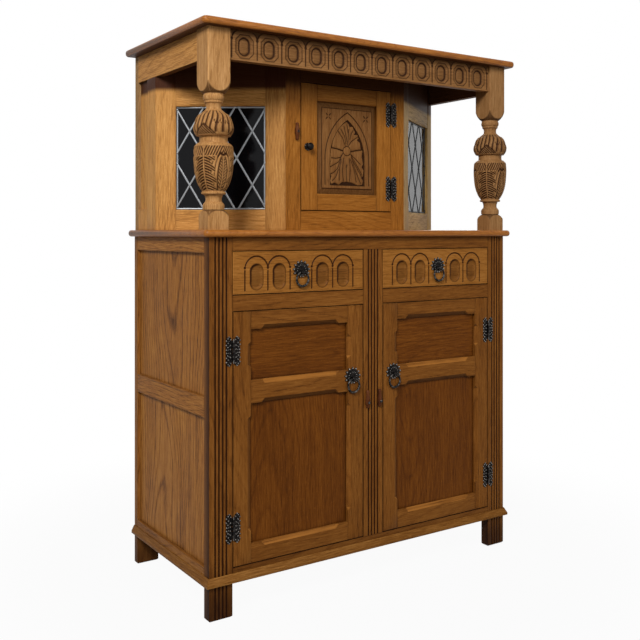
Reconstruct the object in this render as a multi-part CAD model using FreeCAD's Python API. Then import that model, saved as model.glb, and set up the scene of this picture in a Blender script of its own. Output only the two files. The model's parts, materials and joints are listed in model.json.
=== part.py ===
import FreeCAD, Part
import math
import os

# Court cupboard in oak: a two door, two drawer base on four square feet, and a
# recessed three sided upper cupboard under a canopy carried by two turned posts.
# Millimetres, +Z up, front faces -Y, origin at the middle of the floor outline.

V = FreeCAD.Vector
up = V(0, 0, 1)
along_x = V(1, 0, 0)
along_y = V(0, 1, 0)

# Whole carcass
case_w = 930.0          # over the faces of the corner posts
case_d = 444.0          # face of the front posts to the back
top_over = 25.0         # overhang of the top board at the front and the sides
waist_over = 17.0       # overhang of the waist board

# Heights, from the floor upwards
foot_h = 80.0
moulding_h = 20.0
base_show = 12.0        # base rail seen above the moulding
door_open_h = 590.0
mid_rail_h = 37.0
drawer_open_h = 102.0
top_rail_h = 32.0
waist_t = 17.0
upper_h = 462.0
top_t = 18.0

# Framing of the lower case
post_w = 60.0
frame_t = 26.0          # thickness of front posts, rails and muntin
muntin_w = 62.0
rear_w = 60.0
rear_t = 20.0
side_t = 20.0           # thickness of the side rails
side_top_h = 36.0
side_mid_z = 460.0
side_mid_h = 47.0
side_low_h = 38.0
panel_t = 7.0
panel_recess = 8.0
tongue = 6.0            # depth of a panel in its groove
foot_chamfer = 3.0
reed_r = 2.4
reed_pitch = 9.6
reed_count = 4

# Mouldings and boards
moulding_out = 9.0
moulding_nose = 6.0
moulding_top = 2.0
board_corner = 13.0
nose_r = 7.5
nose_share = 0.45       # most of the thickness a nose may take

# Back of both cases
back_t = 5.0
back_rebate = 8.0
rear_rail_h = 38.0

# Fittings inside the lower case
floor_t = 12.0
bearer = 18.0
shelf_t = 14.0
shelf_lift = 12.0       # underside of the shelf above the foot of the mid side rail
shelf_set = 14.0        # shelf edge behind the front frame
runner_t = 20.0
runner_w = 34.0         # bearing width under a drawer side
guide_h = 20.0
kicker_h = 52.0
kicker_w = 24.0
stop_w = 40.0
stop_h = 12.0
stop_d = 10.0

# Doors
door_gap = 1.5
door_t = 20.0
stile_w = 47.0
door_top_h = 42.0
door_low_h = 45.0
door_mid_z = 372.0      # foot of the door's middle rail above the door's foot
door_mid_h = 54.0
door_recess = 9.0
door_panel_t = 6.0
cut_w = 9.0             # stopped chamfer, seen from the front
cut_d = 6.0
cut_stop = 28.0         # plain length left at each end
cut_run = 9.0           # length over which the chamfer dies out
cut_end_share = 0.02
window_cut_share = 0.65  # chamfers of the upper cupboard against those of the doors

# Drawers
drawer_front_t = 20.0
drawer_gap = 1.5
drawer_side_t = 11.0
drawer_side_h = 80.0
drawer_len = 370.0
drawer_base_t = 5.0
drawer_base_up = 8.0
side_clear = 2.0        # drawer side inside the opening
guide_clear = 0.5
run_clear = 0.3
bay_margin = 31.0
bay_count = 5
arch_line = 2.0
line_d = 1.5
bead = 4.6
oval_w = 31.0
oval_h = 58.0
oval_d = 4.0
oval_slope = 4.0
column_low = 8.0        # foot of the columns above the foot of the drawer
column_h = 52.5
bay_rise = 27.0
oval_lift_share = 0.6

# Canopy
frieze_h = 70.0
frieze_t = 20.0
frieze_in = 4.0         # frieze face behind the face of the case
side_in = 2.0           # side faces of the canopy and upper case behind the posts
frieze_bays = 12
frieze_margin = 60.0
niche_w = 48.0
niche_h = 55.0
niche_cut = 12.0
niche_d = 2.2
niche_slope = 5.0
niche_low = 6.0
frieze_oval_w = 26.0
frieze_oval_h = 40.0
frieze_oval_d = 1.8
frieze_line = 2.2
frieze_line_h = 44.0

# Turned posts
axis_side = 25.0        # axis inside the side face of the case
axis_front = 27.0       # axis behind the front face
head_w = 58.0
head_drop = 79.0        # block below the foot of the frieze
pad_w = 52.0
pad_h = 46.0

# Upper cupboard
wall_t = 20.0
cant_y = 308.0          # outer corner behind the case face
centre_y = 112.5        # centre section behind the case face
centre_half = 193.0
centre_stile = 45.0
centre_low_h = 50.0
centre_top_h = 81.0
cant_stile = 52.0
window_low_h = 52.0
window_h = 264.0
return_stile_share = 0.4655  # corner stile of a side wall over the wall's length
return_low_h = 55.0
glass_t = 3.0
glass_in = 9.0
glass_lap = 6.0
came_w = 4.5
came_t = 1.4
lattice_wide = 3
lattice_tall = 2
rear_stile_w = 60.0
rear_top_h = 60.0
upper_shelf_z = 190.0   # underside of the shelf above the waist board
upper_shelf_t = 12.0
upper_shelf_clear = 1.0
cleat = 16.0

# Upper door
upper_stile = 50.0
upper_rail = 43.0
field_slope_w = 16.0
field_recess = 8.0
field_step = 1.5
field_in = 0.5
arch_half = 72.5
arch_in_half = 56.5
arch_foot = 8.0         # foot of the arch above the foot of the field
arch_spring = 70.0
arch_rise = 125.0
arch_in_rise = 105.0
arch_sink = 3.0
knob_in_share = 0.4     # knob from the edge of its stile

# Ironwork
knuckle_r = 3.2
knuckle_off = 0.4
knuckle_gap = 0.3
pin_r = 1.6
pin_fit = 0.05
barrel_h = 40.0
leaf_w = 18.5
leaf_h = 68.0
leaf_t = 1.8
pierce_r = 2.0
hinge_in_share = 0.155  # hinge centres from the ends of a lower door
upper_hinge_share = 0.19
plate_w = 46.0
plate_h = 40.0
plate_t = 3.0
plate_rim_t = 2.0
lug_r = 4.4
lug_w = 7.0
ring_r = 17.0
ring_wire = 2.5         # half the thickness of the ring
ring_bar = 9.4          # straight bar of the ring, through its lug
ring_bar_r = 2.2
ring_fit = 0.06
ring_out = 6.4          # ring axis in front of the wood
pull_in = 33.0          # door pull from the free edge of its door
door_pull_up = 3.5      # lug above the middle of the door's middle rail
drawer_pull_up = -2.5   # lug against the middle of the drawer
plate_up = 5.0          # middle of a backplate above its lug
knob_r = 8.5
knob_out = 19.0
button_l = 31.0         # long arm of a turn button, from its pivot
button_s = 14.0
button_w = 13.0
button_t = 8.0
button_off = 1.2        # button in front of the wood
button_in = 12.0        # pivot from the edge of the stile
button_drop = 33.5      # pivots of the lower pair below the middle rails
upper_button_up = 37.5  # pivot of the upper one above the middle of its door
screw_r = 1.75
screw_fit = 0.05
screw_head_r = 3.4
screw_head_h = 1.8
collar_r = 3.2
plate_leaf_shares = ((0.05, 0.40), (0.14, 0.43), (0.16, 0.31), (0.27, 0.35), (0.27, 0.21),
                     (0.39, 0.22), (0.36, 0.09), (0.50, 0.02), (0.39, -0.07), (0.40, -0.19),
                     (0.28, -0.17), (0.25, -0.31), (0.15, -0.28), (0.09, -0.41))
plate_boss_share = 0.2
knob_shares = ((1.18, 0.0), (1.18, 0.08), (0.45, 0.26), (0.45, 0.5), (0.95, 0.58),
               (1.15, 0.72), (0.95, 0.88), (0.4, 1.0))
button_shares = ((1.0, 0.22), (0.66, 0.6), (0.74, 0.86), (0.4, 1.0))
button_face_share = 0.72  # width of a turn button's face over the width of its back
screw_tip_share = 0.6
overrun = 1.0
flat_limit = 0.001      # four corners whose box is smaller than this lie in one plane
round_sides = 16        # flats that stand for a full round on a turned post
knob_sides = 12
reed_sides = 12
small_sides = 8         # flats round small ironwork
bow_steps = 12          # straight steps of a ring's bow
arch_steps = 6          # straight steps of a carved arch
oval_steps = 3          # straight steps of each end of a carved oval
corner_steps = 3        # straight steps round a corner of a board
nose_steps = 3          # straight steps of a quarter of a nose
leaf_shares = ((0.0, -0.3), (0.3, -0.3), (0.42, -0.5), (0.8, -0.5), (1.0, -0.38), (0.6, -0.17),
               (1.0, -0.08))
pierce_shares = ((0.7, -0.37), (0.7, 0.37))

# Stations worked out from the sizes above
left_x = -case_w / 2
front_y = (top_over - case_d) / 2
back_y = front_y + case_d
moulding_z = foot_h + moulding_h
door_z0 = moulding_z + base_show
door_z1 = door_z0 + door_open_h
drawer_z0 = door_z1 + mid_rail_h
drawer_z1 = drawer_z0 + drawer_open_h
waist_z0 = drawer_z1 + top_rail_h
waist_z1 = waist_z0 + waist_t
canopy_z = waist_z1 + upper_h
top_z = canopy_z + top_t
frieze_z = canopy_z - frieze_h
open_x0 = left_x + post_w
open_x1 = -muntin_w / 2
rear_y = back_y - rear_t
inner_y = front_y + frame_t


def box(x0, x1, y0, y1, z0, z1):
    return Part.makeBox(x1 - x0, y1 - y0, z1 - z0, V(x0, y0, z0))


def mirrored(shapes):
    return [s.mirror(V(0, 0, 0), along_x) for s in shapes]


def prism(points, depth):
    wire = Part.makePolygon(points + [points[0]])
    return Part.Face(wire).extrude(depth)


def flat_faces(corners):
    a, b, c, d = corners
    if abs((b - a).cross(c - a).dot(d - a)) < flat_limit:
        return [Part.Face(Part.makePolygon([a, b, c, d, a]))]
    return [Part.Face(Part.makePolygon([a, b, c, a])), Part.Face(Part.makePolygon([a, c, d, a]))]


# Solid through a row of outlines with as many corners each, its sides flat
def loft(outlines):
    faces = [Part.Face(Part.makePolygon(o + [o[0]])) for o in (outlines[0], outlines[-1])]
    for low, high in zip(outlines, outlines[1:]):
        for i in range(len(low)):
            faces += flat_faces([low[i - 1], low[i], high[i], high[i - 1]])
    shell = Part.makeShell(faces)
    shell.sewShape()
    solid = Part.makeSolid(shell)
    if solid.Volume < 0:
        solid.reverse()
    return solid


def quarter_turns(steps):
    return [math.pi / 2 * i / steps for i in range(steps + 1)]


def full_turns(sides):
    return [2 * math.pi * i / sides for i in range(sides)]


def round_outline(radius, z, sides):
    return [V(radius * math.cos(t), radius * math.sin(t), z) for t in full_turns(sides)]


def turned(points, sides):
    return loft([round_outline(r, z, sides) for r, z in points])


def save(name, shapes):
    solids = [s for shape in shapes for s in shape.Solids]
    shape = solids[0] if len(solids) == 1 else Part.makeCompound(solids)
    shape.exportStep("parts/" + name + ".step")
    print(name, len(solids), round(shape.Volume / 1000, 1))


# Boards with a rounded nose on the front and both ends

def nosed_board(over, z0, z1):
    nose = min(nose_r, (z1 - z0) * nose_share)
    side_x = -left_x + over
    bends = quarter_turns(corner_steps)
    rounds = quarter_turns(nose_steps)

    def outline(inset, z):
        r = board_corner - inset
        x, y = side_x - board_corner, front_y - over + board_corner
        right = [V(side_x - inset, back_y, z)]
        right += [V(x + r * math.cos(t), y - r * math.sin(t), z) for t in bends]
        return right + [V(-p.x, p.y, z) for p in reversed(right)]

    low = [outline(nose * (1 - math.sin(t)), z0 + nose * (1 - math.cos(t))) for t in rounds]
    high = [outline(nose * (1 - math.sin(t)), z1 - nose * (1 - math.cos(t))) for t in reversed(rounds)]
    return loft(low + high)


# Posts, rails and muntin of the lower case

def reeds(middle_x, z0, z1):
    first = middle_x - reed_pitch * (reed_count - 1) / 2
    cutter = turned([(reed_r, z0), (reed_r, z1)], reed_sides)
    return [cutter.translated(V(first + i * reed_pitch, front_y, 0)) for i in range(reed_count)]


def chamfered_foot(post):
    rims = [e for e in post.Edges if abs(e.CenterOfMass.z) < overrun]
    return post.makeChamfer(foot_chamfer, rims)


def panel_groove(y0, y1):
    x0 = left_x + panel_recess
    return box(x0, x0 + panel_t, y0, y1, foot_h + side_low_h - tongue, waist_z0)


def front_post():
    post = chamfered_foot(box(left_x, open_x0, front_y, inner_y, 0, waist_z0))
    post = post.cut(panel_groove(inner_y - tongue, inner_y))
    return post.cut(reeds((left_x + open_x0) / 2, 0, waist_z0))


def rear_post():
    post = chamfered_foot(box(left_x, left_x + rear_w, rear_y, back_y, 0, waist_z0))
    x1 = left_x + rear_w
    rebate = box(x1 - back_rebate, x1, back_y - back_t, back_y, foot_h, waist_z0)
    post = post.cut(panel_groove(rear_y, rear_y + tongue))
    return post.cut(rebate)


def side_rails():
    x0, x1 = left_x, left_x + side_t
    mid_z1 = side_mid_z + side_mid_h
    low_z1 = foot_h + side_low_h
    rails = [box(x0, x1, inner_y, rear_y, foot_h, low_z1),
             box(x0, x1, inner_y, rear_y, side_mid_z, mid_z1),
             box(x0, x1, inner_y, rear_y, waist_z0 - side_top_h, waist_z0)]
    return [rail.cut(side_panels()) for rail in rails]


def side_panels():
    x0 = left_x + panel_recess
    mid_z1 = side_mid_z + side_mid_h
    spans = [(foot_h + side_low_h, side_mid_z), (mid_z1, waist_z0 - side_top_h)]
    return [box(x0, x0 + panel_t, inner_y - tongue, rear_y + tongue, z0 - tongue, z1 + tongue)
            for z0, z1 in spans]


def front_rails():
    return [box(open_x0, -open_x0, front_y, inner_y, foot_h, door_z0),
            box(open_x0, -open_x0, front_y, inner_y, drawer_z1, waist_z0),
            box(open_x0, open_x1, front_y, inner_y, door_z1, drawer_z0),
            box(-open_x1, -open_x0, front_y, inner_y, door_z1, drawer_z0)]


def centre_muntin():
    muntin = box(open_x1, -open_x1, front_y, inner_y, door_z0, drawer_z1)
    return muntin.cut(reeds(0, door_z0, drawer_z1))


# Base moulding: bevelled strips mitred round the front and both sides

def moulding_section(corner_x, corner_y, side_x, side_y):
    outs = [(0, 0), (moulding_out, 0), (moulding_out, moulding_nose),
            (moulding_top, moulding_h), (0, moulding_h)]
    return [V(corner_x + side_x * d, corner_y + side_y * d, foot_h + z) for d, z in outs]


def base_moulding():
    front_left = moulding_section(left_x, front_y, -1, -1)
    front_right = moulding_section(-left_x, front_y, 1, -1)
    rear_left = moulding_section(left_x, back_y, -1, 0)
    side = loft([front_left, rear_left])
    return [loft([front_left, front_right]), side] + mirrored([side])


# Back and inside of the lower case

def rear_rails():
    x0 = left_x + rear_w
    y1 = back_y - back_t
    return [box(x0, -x0, rear_y, y1, z, z + rear_rail_h)
            for z in (foot_h, drawer_z0 - rear_rail_h, waist_z0 - rear_rail_h)]


def lower_back_panel():
    x0 = left_x + rear_w - back_rebate
    return box(x0, -x0, back_y - back_t, back_y, foot_h, waist_z0)


def cupboard_floor():
    x0 = left_x + side_t
    return box(x0, -x0, inner_y, rear_y, door_z0 - floor_t, door_z0)


def shelf_z():
    return side_mid_z + shelf_lift + bearer


def cupboard_shelf():
    x0 = left_x + side_t
    return box(x0, -x0, inner_y + shelf_set, rear_y, shelf_z(), shelf_z() + shelf_t)


def bearers():
    x0 = left_x + side_t
    low_z = door_z0 - floor_t
    left = [box(x0, x0 + bearer, inner_y, rear_y, low_z - bearer, low_z),
            box(x0, x0 + bearer, inner_y + shelf_set, rear_y, shelf_z() - bearer, shelf_z())]
    return left + mirrored(left)


def drawer_runners():
    x0 = left_x + side_t
    z0 = drawer_z0 - runner_t
    guide_x = open_x0 + side_clear - guide_clear
    guide_m = open_x1 - side_clear + guide_clear
    side = [box(x0, open_x0 + runner_w, inner_y, rear_y, z0, drawer_z0),
            box(x0, guide_x, inner_y, rear_y, drawer_z0, drawer_z0 + guide_h)]
    middle = [box(open_x1 - runner_w, -open_x1 + runner_w, inner_y, rear_y, z0, drawer_z0),
              box(guide_m, -guide_m, inner_y, rear_y, drawer_z0, drawer_z0 + guide_h)]
    return side + middle + mirrored(side)


def drawer_kickers():
    z0 = waist_z0 - kicker_h
    side = box(open_x0, open_x0 + kicker_w, inner_y, rear_y, z0, waist_z0)
    return [side, box(-kicker_w, kicker_w, inner_y, rear_y, z0, waist_z0)] + mirrored([side])


def door_stops():
    y0 = front_y + door_t + run_clear
    x1 = open_x1 - door_gap
    low = box(x1 - stop_w, x1, y0, inner_y + stop_d, door_z1 - stop_h, door_z1)
    upper_y0 = front_y + centre_y + door_t + run_clear
    z1 = canopy_z - centre_top_h
    upper = box(-stop_w / 2, stop_w / 2, upper_y0, upper_y0 + stop_d, z1 - stop_h, z1)
    rail_back = front_y + centre_y + wall_t
    fixing = box(-stop_w / 2, stop_w / 2, rail_back, upper_y0 + stop_d, z1, z1 + stop_h)
    return [low, upper.fuse(fixing).removeSplitter()] + mirrored([low])


# Stopped chamfer along one edge of a frame opening, as a cutter

def stopped_chamfer(start, end, away, inward, size_share):
    run = (end - start).normalize()
    width, depth = cut_w * size_share, cut_d * size_share

    def section(at, share):
        out, front = away * overrun * share, inward * overrun * share
        face = at + away * width * share
        deep = at + inward * depth * share
        return [at - out - front, face - front, face, deep, deep - out]

    a = start + run * cut_stop
    b = end - run * cut_stop
    return loft([section(a, cut_end_share), section(a + run * cut_run, 1),
                 section(b - run * cut_run, 1), section(b, cut_end_share)])


def opening_chamfers(x0, x1, y, z0, z1, size_share):
    a, b, c, d = V(x0, y, z0), V(x1, y, z0), V(x1, y, z1), V(x0, y, z1)
    edges = [(a, b, V(0, 0, -1)), (d, c, V(0, 0, 1)), (a, d, V(-1, 0, 0)), (b, c, V(1, 0, 0))]
    return [stopped_chamfer(p, q, away, V(0, 1, 0), size_share) for p, q, away in edges]


# Left door: five framing pieces round two flat panels

def door_edges():
    return (open_x0 + door_gap, open_x1 - door_gap, door_z0 + door_gap, door_z1 - door_gap)


def door_bays():
    x0, x1, z0, z1 = door_edges()
    mid = z0 + door_mid_z
    return [(x0 + stile_w, x1 - stile_w, z0 + door_low_h, mid),
            (x0 + stile_w, x1 - stile_w, mid + door_mid_h, z1 - door_top_h)]


def door_panels():
    y0 = front_y + door_recess
    return [box(x0 - tongue, x1 + tongue, y0, y0 + door_panel_t, z0 - tongue, z1 + tongue)
            for x0, x1, z0, z1 in door_bays()]


def door_frame():
    x0, x1, z0, z1 = door_edges()
    y0, y1 = front_y, front_y + door_t
    low, high = door_bays()
    pieces = [box(x0, low[0], y0, y1, z0, z1), box(low[1], x1, y0, y1, z0, z1),
              box(low[0], low[1], y0, y1, z0, low[2]), box(low[0], low[1], y0, y1, low[3], high[2]),
              box(low[0], low[1], y0, y1, high[3], z1)]
    cutters = door_panels()
    for bay in (low, high):
        cutters += opening_chamfers(bay[0], bay[1], y0, bay[2], bay[3], 1)
    return [p.cut(cutters) for p in pieces]


# Drawers: arcaded front, box and base

def arc_band(cx, z_spring, half, y):
    r = (half * half + bay_rise * bay_rise) / (2 * bay_rise)
    middle = z_spring + bay_rise - r
    line = arch_line / 2

    def arch(radius):
        reach = math.acos((z_spring - middle) / radius)
        turns = [reach * (2 * i / arch_steps - 1) for i in range(arch_steps + 1)]
        return [V(cx + radius * math.sin(t), y, middle + radius * math.cos(t)) for t in turns]

    return prism(arch(r + line) + arch(r - line)[::-1], V(0, line_d, 0))


def oval_outline(cx, cz, y, w, h):
    r = w / 2
    high = h / 2 - r
    turns = [math.pi * (i / oval_steps - 1 / 2) for i in range(oval_steps + 1)]
    top = [V(cx + r * math.sin(t), y, cz + high + r * math.cos(t)) for t in turns]
    low = [V(cx - r * math.sin(t), y, cz - high - r * math.cos(t)) for t in turns]
    return top + low


def oval_dish(cx, cz, y, w, h, slope, depth):
    rim = oval_outline(cx, cz, y, w, h)
    return loft([rim, oval_outline(cx, cz, y + depth, w - 2 * slope, h - 2 * slope)])


def drawer_front():
    x0, x1 = open_x0 + drawer_gap, open_x1 - drawer_gap
    z0, z1 = drawer_z0 + drawer_gap, drawer_z1 - drawer_gap
    front = box(x0, x1, front_y, front_y + drawer_front_t, z0, z1)
    pitch = (x1 - x0 - 2 * bay_margin) / bay_count
    z_low = z0 + column_low
    spring = z_low + column_h
    cutters = []
    for i in range(bay_count + 1):
        x = x0 + bay_margin + i * pitch
        line, knob = arch_line / 2, bead / 2
        cutters.append(box(x - line, x + line, front_y, front_y + line_d, z_low, spring - bead))
        cutters.append(box(x - knob, x + knob, front_y, front_y + line_d, spring - knob, spring + knob))
    for i in range(bay_count):
        if i == bay_count // 2:
            continue
        cx = x0 + bay_margin + (i + 1 / 2) * pitch
        cz = z_low + column_h * oval_lift_share
        cutters.append(arc_band(cx, spring, pitch / 2, front_y))
        cutters.append(oval_dish(cx, cz, front_y, oval_w, oval_h, oval_slope, oval_d))
    return front.cut(cutters)


def drawer_box():
    x0, x1 = open_x0 + side_clear, open_x1 - side_clear
    y0 = front_y + drawer_front_t
    y1 = y0 + drawer_len
    z0 = drawer_z0 + run_clear
    z1 = z0 + drawer_side_h
    base_z = z0 + drawer_base_up
    groove = drawer_side_t / 2
    base = box(x0 + groove, x1 - groove, y0, y1 - drawer_side_t, base_z, base_z + drawer_base_t)
    sides = [box(x0, x0 + drawer_side_t, y0, y1, z0, z1).cut(base),
             box(x1 - drawer_side_t, x1, y0, y1, z0, z1).cut(base)]
    back = box(x0 + drawer_side_t, x1 - drawer_side_t, y1 - drawer_side_t, y1, base_z, z1)
    return sides + [back, base]


# Canopy: carved front frieze and plain side friezes

def niche(cx, y, z0):
    def outline(inset, depth):
        x0, x1 = cx - niche_w / 2 + inset, cx + niche_w / 2 - inset
        a, b = z0 + inset, z0 + niche_h - inset
        c = niche_cut
        return [V(x0 + c, depth, a), V(x1 - c, depth, a), V(x1, depth, a + c), V(x1, depth, b - c),
                V(x1 - c, depth, b), V(x0 + c, depth, b), V(x0, depth, b - c), V(x0, depth, a + c)]

    return loft([outline(0, y), outline(niche_slope, y + niche_d)])


def frieze_front():
    y0 = front_y + frieze_in
    x0 = left_x + axis_side + head_w / 2
    board = box(x0, -x0, y0, y0 + frieze_t, frieze_z, canopy_z)
    first = left_x + frieze_margin
    pitch = -2 * first / frieze_bays
    cutters = []
    for i in range(frieze_bays + 1):
        x = first + i * pitch
        cutters.append(box(x - frieze_line / 2, x + frieze_line / 2, y0, y0 + line_d,
                           frieze_z + niche_low, frieze_z + niche_low + frieze_line_h))
    for i in range(frieze_bays):
        cx = first + (i + 1 / 2) * pitch
        middle = frieze_z + niche_low + niche_h / 2
        cutters.append(niche(cx, y0, frieze_z + niche_low))
        cutters.append(oval_dish(cx, middle, y0 + niche_d, frieze_oval_w, frieze_oval_h,
                                 frieze_oval_d / 2, frieze_oval_d))
    return board.cut(cutters)


def frieze_side():
    x0 = left_x + side_in
    y0 = front_y + axis_front + head_w / 2
    return box(x0, x0 + frieze_t, y0, rear_y, frieze_z, canopy_z).cut(return_panel())


# Turned post: square pad, bell foot, cup and cover, ring and square head

# Radii as shares of the greatest radius, heights as shares of the turned length
bulb_r = 46.0
turn_shares = ((0.54, 0.0), (0.55, 0.035), (0.43, 0.066), (0.405, 0.095), (0.47, 0.13), (0.60, 0.134),
               (0.625, 0.143), (0.56, 0.157), (0.72, 0.19), (0.88, 0.26), (0.985, 0.36), (1.005, 0.46),
               (0.97, 0.545), (0.83, 0.565), (0.70, 0.585), (0.70, 0.622), (0.87, 0.633), (1.0, 0.665),
               (1.02, 0.71), (0.92, 0.79), (0.75, 0.832), (0.44, 0.854), (0.375, 0.888), (0.47, 0.918),
               (0.47, 0.94), (0.535, 0.966), (0.50, 1.0))
dome_tip_share = 0.84   # radius at the tip of a domed block, over its half width
dome_shares = ((1.12, 0.25), (1.29, 0.6))   # radius over the half width, height over the dome's
head_dome_share = 1.45  # height of the dome over the block's half width
pad_dome_share = 0.75


def turning(z0, z1):
    return turned([(bulb_r * r, z0 + share * (z1 - z0)) for r, share in turn_shares], round_sides)


def dome(z_tip, z_full, z_end, half):
    edge = half * math.sqrt(2) + overrun
    middle = [(half * r, z_tip + share * (z_full - z_tip)) for r, share in dome_shares]
    return turned([(half * dome_tip_share, z_tip)] + middle + [(edge, z_full), (edge, z_end)], round_sides)


def baluster():
    x, y = left_x + axis_side, front_y + axis_front
    head_z = frieze_z - head_drop
    pad_z = waist_z1 + pad_h
    half = head_w / 2
    head = box(-half, half, -half, half, head_z, canopy_z)
    head = head.common(dome(head_z, head_z + half * head_dome_share, canopy_z, half))
    foot_half = pad_w / 2
    pad = box(-foot_half, foot_half, -foot_half, foot_half, waist_z1, pad_z)
    cap = dome(0, foot_half * pad_dome_share, pad_h, foot_half)
    cap.rotate(V(0, 0, 0), along_x, 180)
    cap.translate(V(0, 0, pad_z))
    pad = pad.common(cap)
    post = head.fuse([pad, turning(pad_z, head_z)]).removeSplitter()
    post.translate(V(x, y, 0))
    return post


# Upper cupboard walls, laid out in plan from the outer corners

def turn_angle():
    return math.atan2(cant_y - centre_y, (-centre_half) - (left_x + side_in))


def cant_length():
    return math.hypot(cant_y - centre_y, -centre_half - left_x - side_in)


def place_cant(shape):
    angle = math.degrees(turn_angle())
    shape.rotate(V(0, 0, 0), up, -angle)
    shape.translate(V(left_x + side_in, front_y + cant_y, 0))
    return shape


def upright(points, z0, z1):
    return prism([V(x, y, z0) for x, y in points], V(0, 0, z1 - z0))


def mitre_outer():
    return wall_t * math.tan((math.pi / 2 - turn_angle()) / 2)


def mitre_inner():
    return wall_t * math.tan(turn_angle() / 2)


def window_opening():
    z0 = waist_z1 + window_low_h
    return cant_stile, cant_length() - cant_stile, z0, z0 + window_h


def glazing_seat():
    s0, s1, z0, z1 = window_opening()
    lap = glass_lap
    return box(s0 - lap, s1 + lap, glass_in, wall_t, z0 - lap, z1 + lap)


def canted_frame():
    s0, s1, z0, z1 = window_opening()
    length = cant_length()
    outer_stile = [(0, 0), (s0, 0), (s0, wall_t), (mitre_outer(), wall_t)]
    inner_stile = [(s1, 0), (length, 0), (length - mitre_inner(), wall_t), (s1, wall_t)]
    outer = upright(outer_stile, waist_z1, canopy_z)
    inner = upright(inner_stile, waist_z1, canopy_z)
    rails = [box(s0, s1, 0, wall_t, waist_z1, z0), box(s0, s1, 0, wall_t, z1, canopy_z)]
    cutters = [glazing_seat()] + opening_chamfers(s0, s1, 0, z0, z1, window_cut_share)
    return [place_cant(p.cut(cutters)).cut(frieze_side()) for p in [outer, inner] + rails]


def glazing_beads():
    s0, s1, z0, z1 = window_opening()
    y0 = glass_in + glass_t
    lap = glass_lap
    strips = [box(s0 - lap, s0, y0, wall_t, z0 - lap, z1 + lap),
              box(s1, s1 + lap, y0, wall_t, z0 - lap, z1 + lap),
              box(s0, s1, y0, wall_t, z0 - lap, z0), box(s0, s1, y0, wall_t, z1, z1 + lap)]
    return [place_cant(s) for s in strips]


def pane():
    s0, s1, z0, z1 = window_opening()
    lap = glass_lap
    return place_cant(box(s0 - lap, s1 + lap, glass_in, glass_in + glass_t, z0 - lap, z1 + lap))


def came(a, b):
    run = b - a
    side = V(run.z, 0, -run.x).normalize() * (came_w / 2)
    return prism([a + side, b + side, b - side, a - side], V(0, came_t, 0))


def lead_lattice():
    s0, s1, z0, z1 = window_opening()
    y = glass_in - came_t
    lap = glass_lap
    px = (s1 - s0 + 2 * lap) / lattice_wide
    pz = (z1 - z0 + 2 * lap) / lattice_tall
    tall = pz * lattice_tall
    strips = []
    for i in range(-lattice_tall, lattice_wide + lattice_tall):
        x = s0 - lap + i * px
        reach = px * lattice_tall
        strips.append(came(V(x, y, z0 - lap), V(x + reach, y, z0 - lap + tall)))
        strips.append(came(V(x, y, z0 - lap + tall), V(x + reach, y, z0 - lap)))
    inside = box(s0, s1, y, glass_in, z0, z1)
    hole = box(s0 + came_w / 2, s1 - came_w / 2, y, glass_in, z0 + came_w / 2, z1 - came_w / 2)
    net = inside.cut(hole).fuse([s.common(inside) for s in strips]).removeSplitter()
    return place_cant(net)


def return_stile_back():
    corner = front_y + cant_y
    return corner + (rear_y - corner) * return_stile_share


def return_frame():
    x0 = left_x + side_in
    y0 = front_y + cant_y
    y1 = return_stile_back()
    low_z = waist_z1 + return_low_h
    plan = [(x0, y0), (x0 + wall_t, y0 + mitre_outer()), (x0 + wall_t, y1), (x0, y1)]
    stile = upright(plan, waist_z1, frieze_z)
    foot, top = V(x0, y1, low_z), V(x0, y1, frieze_z)
    edge = stopped_chamfer(foot, top, V(0, -1, 0), V(1, 0, 0), window_cut_share)
    rail = box(x0, x0 + wall_t, y1, rear_y, waist_z1, low_z)
    return [p.cut([return_panel(), edge]) for p in (stile, rail)]


def return_panel():
    x0 = left_x + side_in + panel_recess
    y0 = return_stile_back() - tongue
    return box(x0, x0 + panel_t, y0, rear_y, waist_z1 + return_low_h - tongue, frieze_z + tongue)


def centre_frame():
    y0 = front_y + centre_y
    x0 = -centre_half
    x1 = x0 + centre_stile
    plan = [(x0, y0), (x1, y0), (x1, y0 + wall_t), (x0 + mitre_inner(), y0 + wall_t)]
    stile = upright(plan, waist_z1, canopy_z)
    low = box(x1, -x1, y0, y0 + wall_t, waist_z1, waist_z1 + centre_low_h)
    high = box(x1, -x1, y0, y0 + wall_t, canopy_z - centre_top_h, canopy_z)
    return [stile, low, high] + mirrored([stile])


def upper_back_frame():
    x0 = left_x + side_in
    x1 = x0 + rear_stile_w
    y1 = back_y - back_t
    stile = box(x0, x1, rear_y, back_y, waist_z1, canopy_z)
    stile = stile.cut(box(x1 - back_rebate, x1, y1, back_y, waist_z1, canopy_z))
    rails = [box(x1, -x1, rear_y, y1, waist_z1, waist_z1 + rear_rail_h),
             box(x1, -x1, rear_y, y1, canopy_z - rear_top_h, canopy_z)]
    return [stile] + rails + mirrored([stile])


def upper_back_panel():
    x0 = left_x + side_in + rear_stile_w - back_rebate
    return box(x0, -x0, back_y - back_t, back_y, waist_z1, canopy_z)


def inner_plan(gap):
    x_out = left_x + side_in + wall_t + gap
    y_in = front_y + centre_y + wall_t + gap
    slope = math.tan(turn_angle())
    reach = (wall_t + gap) / math.cos(turn_angle())
    y_out = front_y + cant_y + reach - (x_out - left_x - side_in) * slope
    x_front = left_x + side_in + (front_y + cant_y + reach - y_in) / slope
    return [(x_out, rear_y - gap), (x_out, y_out), (x_front, y_in),
            (-x_front, y_in), (-x_out, y_out), (-x_out, rear_y - gap)]


def upper_shelf():
    z0 = waist_z1 + upper_shelf_z
    return upright(inner_plan(upper_shelf_clear), z0, z0 + upper_shelf_t)


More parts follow.
